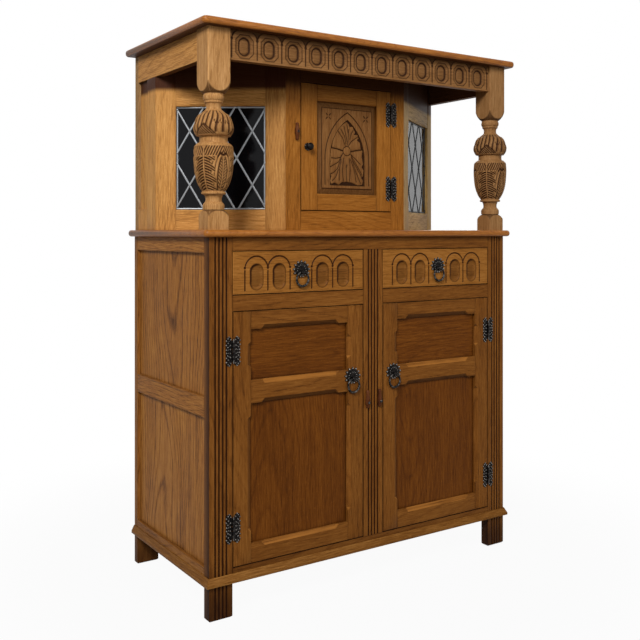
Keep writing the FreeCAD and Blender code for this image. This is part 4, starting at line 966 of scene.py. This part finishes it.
def turnedPost(node, side, s):
    pad = domeRows(s, s["padHalf"], s["padTop"], s["padHalf"] * s["padDome"], s["low"])[::-1]
    head = domeRows(s, s["headHalf"], s["headFoot"], s["headHalf"] * s["headDome"], s["top"])
    rows = pad + profileRows(s) + head
    columns = s["around"]
    radius, height, share = [np.array(column)[:, None] * np.ones(columns) for column in zip(*rows)]
    turns = (np.arange(columns) * 2 * math.pi / columns)[None, :] * np.ones((len(rows), 1))
    halves = np.full(radius.shape, 1.0)  # the turned rows meet no block
    halves[:len(pad)], halves[-len(head):] = s["padHalf"], s["headHalf"]
    flat = np.where(halves < 1.0, np.maximum(np.abs(np.cos(turns)), np.abs(np.sin(turns))), 1.0)
    squares = np.minimum(halves / flat, halves * math.sqrt(2) - s["corner"])
    depth, stain = leafCarving(turns, radius, share, s)
    # painted shade along the crease where a dome meets its square block, and in between
    crease = ridgeLine(np.abs(radius - squares), s["crease"]) * (radius < halves * math.sqrt(2) * 0.985)
    between = smooth((squares - radius) / s["creaseSoft"]) * (share < 0)
    stain = most(stain, 0.5 * crease, 0.75 * between)
    radius = np.minimum(radius - depth, squares)
    x = side * s["x"] + radius * np.cos(turns)
    y = s["y"] + radius * np.sin(turns)
    points = np.stack([x, y, height], -1).reshape(-1, 3)
    at = np.arange(len(points)).reshape(len(rows), columns)
    after = np.roll(at, -1, 1)
    quads = np.stack([at[:-1], after[:-1], after[1:], at[1:]], -1).reshape(-1, 4)
    faces = quads.tolist() + [tuple(at[0][::-1].tolist()), tuple(at[-1].tolist())]
    mesh = bpy.data.meshes.new(node + "_carved")
    mesh.from_pydata(points.tolist(), [], faces)
    setValues(mesh, "stain", stain.ravel())
    block = np.minimum(np.abs(squares - halves * math.sqrt(2) + s["corner"]), 1).ravel()
    worn = np.zeros(len(faces))
    worn[:len(quads)] = block[quads[:, 0]] < 1e-6
    setValues(mesh, "edge", worn, "FACE")
    spans = grainFrame([Vector((side * s["x"], s["y"], s[end])) for end in ("low", "top")], None)
    paintBoard(mesh, spans, drawsOf(node))
    showCarved(node, mesh, "turned" if side < 0 else "turnedRight")


for node, side in (("baluster_left", -1), ("baluster_right", 1)):
    turnedPost(node, side, post)
print("turned posts carved")

# Wires and beads of the ironwork. Lines and points carry their own thickness, and one node tree
# sweeps the lines, sets a bead on each loose point and joins the two.
wire = dict(sides=7, beadRings=6, beadSides=10)


def wireTree():
    p = Shape("wiresAndBeads", Sides="Int", Rings="Int", Segments="Int")
    thick = p.node("GeometryNodeInputNamedAttribute", dict(data_type="FLOAT"), {"Name": "thick"})
    bead = p.node("GeometryNodeInputNamedAttribute", dict(data_type="FLOAT"), {"Name": "bead"})
    points = p.node("GeometryNodeSeparateGeometry", dict(domain="POINT"), [p.start, bead])
    curve = p.node("GeometryNodeMeshToCurve", None, {"Mesh": points.out("Inverted")})
    curve = p.node("GeometryNodeSetCurveRadius", None, {"Curve": curve, "Radius": thick})
    ring = p.node("GeometryNodeCurvePrimitiveCircle", dict(mode="RADIUS"),
                  {"Radius": 1.0, "Resolution": p.start.out("Sides")})
    swept = p.node("GeometryNodeCurveToMesh", None,
                   {"Curve": curve, "Profile Curve": ring, "Scale": thick, "Fill Caps": True})
    ball = p.node("GeometryNodeMeshUVSphere", None, {"Radius": 1.0, "Rings": p.start.out("Rings"),
                                                     "Segments": p.start.out("Segments")})
    beads = p.node("GeometryNodeInstanceOnPoints", None, {"Points": points, "Instance": ball, "Scale": thick})
    joined = p.node("GeometryNodeJoinGeometry", None, {"Geometry": [swept, beads]})
    return p.finish(joined, materials["iron"])


wiresAndBeads = wireTree()


def wireMesh(name, lines, beads, shine, sides=wire["sides"]):  # a line is a list of (point, radius) pairs
    spots, edges = [], []
    for line in lines:
        edges += [(len(spots) + k, len(spots) + k + 1) for k in range(len(line) - 1)]
        spots += line
    flags = [0.0] * len(spots) + [1.0] * len(beads)
    spots = spots + beads
    mesh = bpy.data.meshes.new(name)
    mesh.from_pydata([tuple(p) for p, r in spots], edges, [])
    setValues(mesh, "thick", [r for p, r in spots])
    setValues(mesh, "bead", flags)
    sizes = dict(Sides=sides, Rings=wire["beadRings"], Segments=wire["beadSides"])
    return wornAndHighlit(grown(mesh, wiresAndBeads, sizes), shine)


def moved(mesh, matrix):
    mesh.transform(matrix)
    if matrix.determinant() < 0:
        mesh.flip_normals()
    return mesh


def wornAndHighlit(mesh, value):  # how far the black has worn off, with a painted highlight on the raised iron
    return setValues(mesh, "edge", [value] * len(mesh.vertices))


def bridge(bm, rings):
    for a, b in zip(rings, rings[1:]):
        for k in range(len(a)):
            n = (k + 1) % len(a)
            bm.faces.new((a[k], a[n], b[n], b[k]))


def meshFrom(bm, name, turnOut):
    if turnOut:
        bmesh.ops.recalc_face_normals(bm, faces=bm.faces[:])
    mesh = bpy.data.meshes.new(name)
    bm.to_mesh(mesh)
    bm.free()
    return mesh


def tubeMesh(name, rings, turnOut=False):  # rings of points joined one after another, closed at both ends
    bm = bmesh.new()
    rows = [[bm.verts.new(p) for p in ring] for ring in rings]
    bridge(bm, rows)
    bm.faces.new(rows[0][::-1])
    bm.faces.new(rows[-1])
    return meshFrom(bm, name, turnOut)


def circle(r, z, sides):
    turns = [2 * math.pi * k / sides for k in range(sides)]
    return [(r * math.cos(a), r * math.sin(a), z) for a in turns]


def latheMesh(name, rows, sides):  # (radius, height) rows turned about Z
    return tubeMesh(name, [circle(r, z, sides) for r, z in rows])


# Share of the outline and of the thickness at each step of a plate's rounded face
plateSteps = [(1.0, 0.0), (1.0, 0.55), (0.93, 0.85), (0.6, 1.0)]


def plateMesh(name, outline, thick, shine, dome=0.0):  # flat plate in XZ, its face towards -Y
    bm = bmesh.new()
    count = len(outline)
    cx = sum(p[0] for p in outline) / count
    cz = sum(p[1] for p in outline) / count
    rings = []
    for share, lift in plateSteps:
        y = -thick * lift - (dome * (1 - share) if lift == 1.0 else 0)
        rings.append([bm.verts.new((cx + (x - cx) * share, y, cz + (z - cz) * share)) for x, z in outline])
    bridge(bm, rings)
    tip = bm.verts.new((cx, -thick - dome, cz))
    foot = bm.verts.new((cx, 0, cz))
    for k in range(count):
        n = (k + 1) % count
        bm.faces.new((rings[-1][k], rings[-1][n], tip))
        bm.faces.new((rings[0][n], rings[0][k], foot))
    return wornAndHighlit(meshFrom(bm, name, True), shine)


def ironPiece(node, meshes, finish="iron"):
    for mesh in meshes:
        mesh.polygons.foreach_set("use_smooth", np.ones(len(mesh.polygons), bool))
        mesh.materials.clear()
    obj = joinMeshes(node + "_dressed", meshes)
    obj.data.set_sharp_from_angle(angle=math.radians(40))
    return present(obj, node, finish)


def solidBoxes(node):  # low and high corner of each solid of a CAD node
    for triangles in solidsOf(nodes[node].data):
        points = np.array([c for t in triangles for c in t], float) / gridSteps
        yield points.min(0), points.max(0)


# Hinges: pierced leaves of scrolls and beads on both sides of a five part barrel. Numbers in the
# lists are millimetres from the barrel's axis and above the leaf's middle.
hinge = dict(
    barrel=0.040, knuckle=0.0032, ease=0.0004, off=0.0036, gap=0.0003, leafThick=0.0018, leafHigh=0.068,
    wire=0.00130, thin=0.0008, bead=0.0019, small=0.0013, strip=0.0056, stripPast=0.004, sides=24,
    curls=[(13.2, 29.4, 4.0, 1.2, -100, 330, 12), (6.2, 27.0, 3.8, 1.2, 100, -320, 12),
           (12.6, 19.2, 4.4, 1.3, 120, -330, 12), (13.8, 9.8, 4.4, 1.3, -140, 330, 12),
           (7.2, 13.8, 3.2, 1.0, 60, 300, 10), (7.4, 4.6, 3.0, 1.0, -60, -300, 10)],
    bars=[[(3.4, 13.5), (5.4, 19.5), (4.6, 25.0), (8.2, 31.6)], [(3.0, 9.0), (9.5, 13.0), (16.5, 15.2)],
          [(3.0, 2.0), (9.0, 1.4), (17.6, 0.0)], [(9.2, 31.4), (10.0, 27.0), (9.6, 23.0), (8.2, 20.0)],
          [(15.0, 24.2), (17.2, 26.0)], [(15.0, 14.6), (17.6, 5.6)]],
    beads=[(13.2, 29.4), (6.2, 27.0), (12.6, 19.2), (13.8, 9.8), (7.2, 13.8), (7.4, 4.6), (17.4, 24.6),
           (17.6, 14.8), (10.2, 33.0), (16.9, 3.6)],
    nails=[(10.0, 24.0), (10.4, 12.4), (12.2, 3.6)], axes=(-0.40425, 0.40425, 0.14725),
    back=[(3.4, 20.6), (4.2, 30.6), (8.0, 32.8), (14.4, 32.0), (16.8, 25.4), (13.6, 15.6), (16.8, 9.0)],
    backThick=0.0007, finials=[(1.2, 2.5), (4.6, 1.9), (7.2, 1.2)])


def spiral(cx, cz, start, end, turnFrom, turnBy, steps):  # a flat curl in leaf measures
    for k in range(steps + 1):
        t = k / steps
        a = math.radians(turnFrom + turnBy * t)
        r = start + (end - start) * t
        yield cx + r * math.cos(a), cz + r * math.sin(a)


def leafLines(s, side):
    lines, beads = [], []
    y = -s["leafThick"] * 0.62
    for way in (1, -1):
        def at(x, z):
            return (side * x / 1000, y, way * z / 1000)

        for curl in s["curls"]:
            taper = (s["thin"] - s["wire"]) / curl[-1]
            lines.append([(at(x, z), s["wire"] + taper * k) for k, (x, z) in enumerate(spiral(*curl))])
        lines += [[(at(x, z), s["wire"]) for x, z in bar] for bar in s["bars"]]
        beads += [(at(x, z), s["bead"]) for x, z in s["beads"]]
        beads += [(at(x, z), s["small"]) for x, z in s["nails"]]
    return lines, beads


def hingeHalf(s, side, spans, free):  # leaf on one side of the barrel, with its knuckles
    parts = []
    top = s["barrel"] / 2 + s["stripPast"]
    gaps = [(a - s["gap"], b + s["gap"]) for a, b in free]
    levels = sorted({-top, top} | {z for span in gaps for z in span})
    for z0, z1 in zip(levels, levels[1:]):
        beside = any(a - 1e-6 < (z0 + z1) / 2 < b + 1e-6 for a, b in gaps)
        x0, x1 = side * (s["knuckle"] + 0.0004 if beside else 0.0), side * s["strip"]
        outline = [(x0, z0), (x1, z0), (x1, z1), (x0, z1)]
        parts.append(plateMesh("strip", outline, s["leafThick"] * 0.8, 0.1))
    half = [(side * x / 1000, z / 1000) for x, z in s["back"]]
    parts.append(plateMesh("leafBack", half + [(x, -z) for x, z in half[::-1]], s["backThick"], 0.0))
    lines, beads = leafLines(s, side)
    parts.append(wireMesh("leafWires", lines, [], 0.35))
    parts.append(wireMesh("leafBeads", [], beads, 1.0))
    r, ease = s["knuckle"], s["ease"]
    for z0, z1 in spans:
        rows = [(r - ease, z0), (r, z0 + ease), (r, z1 - ease), (r - ease, z1)]
        tube = latheMesh("knuckle", rows, s["sides"])
        parts.append(wornAndHighlit(moved(tube, Matrix.Translation((0, -s["off"], 0))), 0.45))
    return parts


def hingePlaces(node, s):  # axis, front face, height and side of each leaf of a node
    for low, high in solidBoxes(node):
        if abs(high[2] - low[2] - s["leafHigh"]) > 0.001:
            continue
        for axis in s["axes"]:
            for side, edge in ((1, low[0] + s["knuckle"]), (-1, high[0] - s["knuckle"])):
                if abs(edge - axis) < 0.0005:
                    yield axis, high[1], (low[2] + high[2]) / 2, side


def hingeMeshes(node, s, fixed):
    third, top = s["barrel"] / 3, s["barrel"] / 2
    ends, middle = [(-top, -third / 2 - s["gap"]), (third / 2 + s["gap"], top)], [(-third / 2, third / 2)]
    parts = []
    for axis, y, z, side in hingePlaces(node, s):
        here = hingeHalf(s, side, *((ends, middle) if fixed else (middle, ends)))
        if fixed:
            here.append(wireMesh("finials", [], [((0, -s["off"], way * (top + up / 1000)), r / 1000)
                                                 for way in (1, -1) for up, r in s["finials"]], 0.8))
        parts += [moved(mesh, Matrix.Translation((axis, y, z))) for mesh in here]
    return parts


# Pulls: a palmette with beads round its edge, a ribbed boss, a lug and a swinging ring
pull = dict(
    up=0.005, lobes=13, lobeSteps=6, wide=0.0232, foot=0.0190, waist=0.0146, scallop=0.0030, thick=0.0016,
    dome=0.0012, rib=0.0011, bead=0.0025, inner=0.0122, innerBead=0.0013, boss=0.0088, bossHigh=0.0030,
    bossRows=[(1.0, 0.0), (1.0, 0.45), (0.86, 0.8), (0.72, 0.62), (0.6, 1.0)], bossSides=32, lug=0.0043,
    lugWide=0.007, lugEase=0.0007, out=0.0064, ring=0.017, ringSteps=48, ringSides=14, bar=0.0094,
    barPast=0.0012, barThick=0.0021, ringThick=0.0029, ringTop=0.0022)
faceFront = Matrix.Rotation(math.radians(90), 4, "X")


def palmette(s):  # outline of the back plate, and the turn and reach of each lobe's tip
    outline, tips = [], []
    steps = s["lobes"] * s["lobeSteps"]
    reaches = [s["wide"] * 0.98, s["wide"], s["waist"], s["foot"] * 0.92, s["foot"]]
    for k in range(steps):
        a = 2 * math.pi * k / steps
        fromTop = abs((math.degrees(a) + 180) % 360 - 180)
        low = np.interp(fromTop, [0, 105, 150, 172, 180], reaches)
        r = low + s["scallop"] * (math.cos(a * s["lobes"]) - 0.3)
        outline.append((r * math.sin(a), s["up"] + r * math.cos(a)))
        if k % s["lobeSteps"] == 0:
            tips.append((a, low))
    return outline, tips


def pullPlate(x, y, z, s):
    outline, tips = palmette(s)
    parts = [plateMesh("palmette", outline, s["thick"], 0.05, s["dome"])]
    face, crown = -s["thick"] - s["dome"] * 0.2, -s["thick"] - s["dome"]
    ribs, beads = [], []

    def at(turn, r, y):
        return (math.sin(turn) * r, y, s["up"] + math.cos(turn) * r)

    for a, r in tips:
        path = [(s["boss"] * 0.8, crown), (r * 0.62, -s["thick"] - s["dome"] * 0.75), (r * 0.9, face)]
        ribs.append([(at(a, d, y1), s["rib"]) for d, y1 in path])
        beads.append((at(a, r * 0.93, face), s["bead"]))
        beads.append((at(a + math.pi / s["lobes"], s["inner"], crown), s["innerBead"]))
    parts.append(wireMesh("ribs", ribs, [], 0.45))
    parts.append(wireMesh("beads", [], beads, 1.0))
    rows = [(s["boss"] * r, s["bossHigh"] * h) for r, h in s["bossRows"]] + [(0.001, s["bossHigh"])]
    boss = latheMesh("boss", rows, s["bossSides"])
    parts.append(wornAndHighlit(moved(boss, Matrix.Translation((0, 0, s["up"])) @ faceFront), 0.3))
    half, r = s["lugWide"] / 2, s["lug"]
    rows = [(r * 0.85, -half), (r, -half + s["lugEase"]), (r, half - s["lugEase"]), (r * 0.85, half)]
    turn = Matrix.Translation((0, -s["out"], 0)) @ Matrix.Rotation(math.radians(90), 4, "Y")
    parts.append(wornAndHighlit(moved(latheMesh("lug", rows, 24), turn), 0.5))
    x1, z1 = half * 0.9, r * 0.9
    parts.append(plateMesh("neck", [(-x1, -z1), (x1, -z1), (x1, z1), (-x1, z1)], s["out"], 0.1))
    return [moved(mesh, Matrix.Translation((x, y, z))) for mesh in parts]


def pullRing(x, y, z, s):
    half = s["bar"] / 2
    drop = math.sqrt(s["ring"] ** 2 - half ** 2)
    gap = math.asin(half / s["ring"])
    line = []
    for k in range(s["ringSteps"] + 1):
        a = gap + (2 * math.pi - 2 * gap) * k / s["ringSteps"]
        thick = s["ringTop"] + (s["ringThick"] - s["ringTop"]) * (0.5 - 0.5 * math.cos(a)) ** 0.7
        line.append(((s["ring"] * math.sin(a), 0, s["ring"] * math.cos(a) - drop), thick))
    bar = [((way * (half + s["barPast"]), 0, 0), s["barThick"]) for way in (-1, 1)]
    mesh = wireMesh("ring", [line, bar], [], 0.6, s["ringSides"])
    return [moved(mesh, Matrix.Translation((x, y - s["out"], z)))]


# Knob of the upper door: a faceted ball on a beaded rose. Rows are shares of its radius and length.
knob = dict(rows=[(1.18, 0.0), (1.20, 0.06), (1.05, 0.13), (0.55, 0.2), (0.44, 0.3), (0.46, 0.48), (0.78, 0.56),
                  (1.04, 0.64), (1.15, 0.74), (1.08, 0.84), (0.80, 0.94), (0.42, 1.0)],
            radius=0.0085, sides=16, beads=9, bead=0.0012, beadRing=1.05, beadUp=0.1)


def doorKnob(s):
    low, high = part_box("upper_door_knob")
    long = high.y - low.y
    turn = Matrix.Translation(((low.x + high.x) / 2, high.y, (low.z + high.z) / 2)) @ faceFront
    body = latheMesh("knob", [(s["radius"] * r, long * out) for r, out in s["rows"]], s["sides"])
    beads = [(p, s["bead"]) for p in circle(s["radius"] * s["beadRing"], long * s["beadUp"], s["beads"])]
    return [moved(wornAndHighlit(body, 0.35), turn), moved(wireMesh("rose", [], beads, 0.8), turn)]


# Screws of the turn buttons: slotted domed heads on a thin collar
screw = dict(head=0.0034, high=0.0018, slot=0.0009, slotDeep=0.0007, collar=0.0032, collarHigh=0.0009,
             rows=[(1.0, 0.0), (1.0, 0.35), (0.88, 0.7), (0.62, 0.92), (0.3, 1.0)], sides=24, collarSides=20)


def screwHead(s, foot):
    bm = bmesh.new()
    rings = []
    for share, lift in s["rows"]:
        ring = []
        for x, y, z in circle(s["head"] * share, foot + s["high"] * lift, s["sides"]):
            deep = s["slotDeep"] if abs(y) < s["slot"] / 2 and lift > 0.5 else 0.0
            ring.append(bm.verts.new((x, y, z - deep)))
        rings.append(ring)
    bridge(bm, rings)
    bm.faces.new(rings[0][::-1])
    tip = bm.verts.new((0, 0, foot + s["high"] - s["slotDeep"]))
    for k in range(s["sides"]):
        bm.faces.new((rings[-1][k], rings[-1][(k + 1) % s["sides"]], tip))
    return wornAndHighlit(meshFrom(bm, "head", False), 0.7)


def screwHeads(s):
    parts = []
    for low, high in solidBoxes("turn_button_screws"):
        rows = [(s["collar"], -high[1]), (s["collar"], -high[1] + s["collarHigh"])]
        turn = Matrix.Translation(((low[0] + high[0]) / 2, 0, (low[2] + high[2]) / 2)) @ faceFront
        collar = wornAndHighlit(latheMesh("collar", rows, s["collarSides"]), 0.2)
        parts += [moved(collar, turn), moved(screwHead(s, -low[1] - s["high"]), turn)]
    return parts


# Turn buttons: waisted bars of dark oak with a rounded face
button = dict(width=[(0.0, 1.0), (0.2, 0.99), (0.42, 0.80), (0.6, 0.64), (0.74, 0.66), (0.88, 0.74), (0.96, 0.62),
                     (1.0, 0.34)], face=[(0.0, 1.0), (0.35, 0.92), (0.6, 0.74), (0.85, 0.70), (1.0, 0.45)],
              rows=28, around=18, power=0.7, rim=0.12)
screwCentres = [(low + high) / 2 for low, high in solidBoxes("turn_button_screws")]


def buttonMesh(node, s):
    low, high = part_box(node)
    x, half = (low.x + high.x) / 2, (high.x - low.x) / 2
    pivot = min(screwCentres, key=lambda c: math.hypot(c[0] - x, c[2] - (low.z + high.z) / 2))[2]
    shares = [k / s["rows"] for k in range(s["rows"] + 1)]
    rows = [(pivot - t * (pivot - low.z), t) for t in shares[::-1]]
    rows += [(pivot + t * (high.z - pivot), t) for t in shares[1:]]
    rings = []
    for z, t in rows:
        w = half * np.interp(t, *zip(*s["width"]))
        thick = (high.y - low.y) * np.interp(t, *zip(*s["face"]))
        ring = []
        for k in range(s["around"] + 1):
            a = math.pi * k / s["around"]
            lift = s["rim"] + (1 - s["rim"]) * math.sin(a) ** s["power"]
            ring.append((x + w * math.cos(a), high.y - thick * lift, z))
        rings.append(ring + [(x - w, high.y, z), (x + w, high.y, z)])
    mesh = wornAndHighlit(tubeMesh(node + "_carved", rings, True), 0.25)
    paintBoard(mesh, grainFrame([low, high], None), drawsOf(node))
    return mesh


for node in ("turn_button_left", "turn_button_right", "turn_button_upper"):
    showCarved(node, buttonMesh(node, button), "button")
ironPiece("turn_button_screws", screwHeads(screw))
ironPiece("hinge_leaves_fixed", hingeMeshes("hinge_leaves_fixed", hinge, True))
ironPiece("upper_door_hinge_leaves", hingeMeshes("upper_door_hinge_leaves", hinge, False))
ironPiece("upper_door_knob", doorKnob(knob))
for side in ("left", "right"):
    for owner, leaf in (("door", "frame"), ("drawer", "front")):
        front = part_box(f"{owner}_{side}_{leaf}")[0].y
        low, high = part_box(f"{owner}_{side}_pull_ring")
        drop = math.sqrt(pull["ring"] ** 2 - (pull["bar"] / 2) ** 2)
        place = (low.x + high.x) / 2, front, low.z + pull["ringThick"] + pull["ring"] + drop
        ironPiece(f"{owner}_{side}_pull_ring", pullRing(*place, pull))
        plate = pullPlate(*place, pull)
        if owner == "drawer":
            ironPiece(f"drawer_{side}_pull_plate", plate)
        else:
            ironPiece(f"door_{side}_ironwork", plate + hingeMeshes(f"door_{side}_ironwork", hinge, False))
print("ironwork made")

# Leaded windows: rounded cames over the glass and a blob of solder where they cross
window = dict(
    corner=(0.463, 0.0985), centre=(0.193, -0.097), stile=0.052, low=0.942, high=1.206, lap=0.006, glassIn=0.009,
    came=0.0045, cameHigh=0.0015, section=[(1.0, 0.0), (1.0, 0.45), (0.6, 0.88), (0.0, 1.0), (-0.6, 0.88),
                                           (-1.0, 0.45), (-1.0, 0.0)],
    wide=3, tall=2, solder=0.0031, solderFlat=0.55, solderShare=(0.9, 1.15), solderLift=0.75, shortest=0.02)


def cameMesh(a, b, s):
    way = (b - a).normalized()
    side = Vector((-way.z, 0, way.x)) * (s["came"] / 2)
    rings = [[p + side * u + Vector((0, -s["cameHigh"] * v, 0)) for u, v in s["section"]] for p in (a, b)]
    return tubeMesh("came", rings, True)


def solderTree(material, s):
    p = Shape("solderJoints", Radius="Float", Seed="Int")
    ball = {"Segments": wire["beadSides"], "Rings": wire["beadRings"], "Radius": p.start.out("Radius")}
    ball = p.node("GeometryNodeMeshUVSphere", None, ball)
    size = p.node("FunctionNodeRandomValue", None, {2: s["solderShare"][0], 3: s["solderShare"][1],
                                                    "Seed": p.start.out("Seed")}, out=1)
    flat = p.node("ShaderNodeVectorMath", dict(operation="MULTIPLY"), [size, (1.0, s["solderFlat"], 1.0)])
    blobs = p.node("GeometryNodeInstanceOnPoints", None, {"Points": p.start, "Instance": ball, "Scale": flat})
    return p.finish(blobs, material)


def clipLine(a, b, box, shortest):  # part of a sloping line inside the opening
    x0, x1, z0, z1 = box
    t0, t1 = 0.0, 1.0
    for p, q in ((a.x - b.x, a.x - x0), (b.x - a.x, x1 - a.x), (a.z - b.z, a.z - z0), (b.z - a.z, z1 - a.z)):
        if p < -1e-9:
            t0 = max(t0, q / p)
        elif p > 1e-9:
            t1 = min(t1, q / p)
    return (a.lerp(b, t0), a.lerp(b, t1)) if t1 > t0 + shortest else None


def cameLines(x0, x1, s):  # the crossing cames of one light, then its rim
    y, z0, z1, lap = s["glassIn"], s["low"], s["high"], s["lap"]
    pitch = (x1 - x0 + 2 * lap) / s["wide"]
    lines = []
    for k in range(-s["tall"], s["wide"] + s["tall"]):
        x = x0 - lap + k * pitch
        for low, high in ((z0 - lap, z1 + lap), (z1 + lap, z0 - lap)):
            ends = Vector((x, y, low)), Vector((x + pitch * s["tall"], y, high))
            lines.append(clipLine(*ends, (x0, x1, z0, z1), s["shortest"]))
    edge = s["came"] / 2
    left, right, foot, top = x0 + edge, x1 - edge, z0 + edge, z1 - edge
    rim = [Vector((x, y, z)) for x, z in ((left, foot), (right, foot), (right, top), (left, top))]
    return [line for line in lines if line] + list(zip(rim, rim[1:] + rim[:1]))


def crossings(lines, lift):
    for k, (a, b) in enumerate(lines):
        for c, d in lines[:k]:
            cross = (b.x - a.x) * (d.z - c.z) - (b.z - a.z) * (d.x - c.x)
            if abs(cross) < 1e-9:
                continue
            t = ((c.x - a.x) * (d.z - c.z) - (c.z - a.z) * (d.x - c.x)) / cross
            u = ((c.x - a.x) * (b.z - a.z) - (c.z - a.z) * (b.x - a.x)) / cross
            if -0.01 < t < 1.01 and -0.01 < u < 1.01:
                yield a.lerp(b, t) - Vector((0, lift, 0))


def leadedLight(node, side, finish, s):
    corner, centre = Vector((*s["corner"], 0)), Vector((*s["centre"], 0))
    lines = cameLines(s["stile"], (corner - centre).length - s["stile"], s)
    parts = [cameMesh(a, b, s) for a, b in lines]
    joints = bpy.data.meshes.new("solder")
    joints.from_pydata([tuple(p) for p in crossings(lines, s["cameHigh"] * s["solderLift"])], [], [])
    parts.append(grown(joints, solderTree(materials[finish], s), dict(Radius=s["solder"], Seed=4)))
    turn = math.atan2(corner.y - centre.y, corner.x - centre.x)
    place = Matrix.Translation((-corner.x, corner.y, 0)) @ Matrix.Rotation(-turn, 4, "Z")
    if side > 0:
        place = Matrix.Scale(-1, 4, (1, 0, 0)) @ place
    ironPiece(node, [wornAndHighlit(moved(mesh, place), 0.4) for mesh in parts], finish)


leadedLight("lead_lattice_left", -1, "leadLight", window)
leadedLight("lead_lattice_right", 1, "leadDark", window)
print("windows leaded")

# The panes keep their CAD meshes. One glass in two copies: painted shade makes the left one dark,
# a painted reflection makes the right one paler and glossier.
for name, finish in (("window_glass_left", "glassPaintedShade"), ("window_glass_right", "glassPaintedReflection")):
    nodes[name].data.materials.clear()
    nodes[name].data.materials.append(materials[finish])
print("panes finished")

# Camera at the photograph's place
view = dict(lens=49.1, sensor=36, place=(-1.3535, -1.9894, 0.8836), turn=-33.77, shiftY=-0.1366, near=0.05,
            far=60)
cameraData = bpy.data.cameras.new("camera")
cameraData.lens, cameraData.sensor_width, cameraData.shift_y = view["lens"], view["sensor"], view["shiftY"]
cameraData.clip_start, cameraData.clip_end = view["near"], view["far"]
camera = bpy.data.objects.new("camera", cameraData)
camera.location = view["place"]
camera.rotation_euler = (math.radians(90), 0, math.radians(view["turn"]))
scene.collection.objects.link(camera)
scene.camera = camera

# Soft studio light: a large key at the upper left, a weaker one at the right, and an even room
studio = dict(
    lamps=[dict(name="key", place=(-2.5, -2.3, 2.9), size=1.1, power=132),
           dict(name="front", place=(0.9, -3.6, 2.3), size=1.8, power=42),
           dict(name="rear", place=(2.4, 3.2, 2.8), size=2.4, power=70)],
    room=0.17, floorShade=0.35, floorWhite=0.95, floorNear=0.6, floorFar=1.4, floorHalf=20, drop=0.0005,
    target=(0, 0, 0.8))
for lamp in studio["lamps"]:
    data = bpy.data.lights.new(lamp["name"], "AREA")
    data.shape, data.size, data.energy = "SQUARE", lamp["size"], lamp["power"]
    obj = bpy.data.objects.new(lamp["name"], data)
    obj.location = lamp["place"]
    way = Vector(studio["target"]) - obj.location
    obj.rotation_euler = way.to_track_quat("-Z", "Y").to_euler()
    scene.collection.objects.link(obj)


def seenRays(p):  # camera, mirror and glass rays
    path = p.node("ShaderNodeLightPath")
    glossy = path.out("Is Glossy Ray").math("MAXIMUM", path.out("Is Transmission Ray"))
    return path.out("Is Camera Ray").math("MAXIMUM", glossy)


class RoomPaint(Paint):
    def __init__(self):
        world = bpy.data.worlds.new("room")
        world.use_nodes = True
        scene.world = world
        self.tree = world.node_tree
        self.tree.nodes.clear()


room = RoomPaint()
seen = seenRays(room)
strength = studio["room"] + seen * (1.0 - studio["room"])
sky = room.node("ShaderNodeBackground", None, {"Color": (1, 1, 1, 1), "Strength": strength})
room.node("ShaderNodeOutputWorld", None, {"Surface": sky})

floorPaint = Paint("studio_floor")
dull = floorPaint.node("ShaderNodeBsdfDiffuse", None, {"Color": (studio["floorShade"],) * 3 + (1,)})
white = floorPaint.node("ShaderNodeEmission", None, {"Color": (1, 1, 1, 1), "Strength": 1.0})
spread = vectorMath(floorPaint, "LENGTH", [floorPaint.node("ShaderNodeTexCoord", out="Object")], "Value")
lit = fade(floorPaint, spread, studio["floorNear"], studio["floorFar"], studio["floorWhite"], 1.0)
share = seenRays(floorPaint) * lit
floorPaint.finish(floorPaint.node("ShaderNodeMixShader", None, {0: share, 1: dull, 2: white}))
floorMesh = bpy.data.meshes.new("studioFloor")
reach = studio["floorHalf"]
corners = [(-reach, -reach, 0), (reach, -reach, 0), (reach, reach, 0), (-reach, reach, 0)]
floorMesh.from_pydata(corners, [], [(0, 1, 2, 3)])
floorMesh.materials.append(floorPaint.material)
floor = bpy.data.objects.new("studioFloor", floorMesh)
floor.location.z = cadBox[0].z - studio["drop"]
scene.collection.objects.link(floor)
scene.view_settings.view_transform = "Standard"
print("studio set")
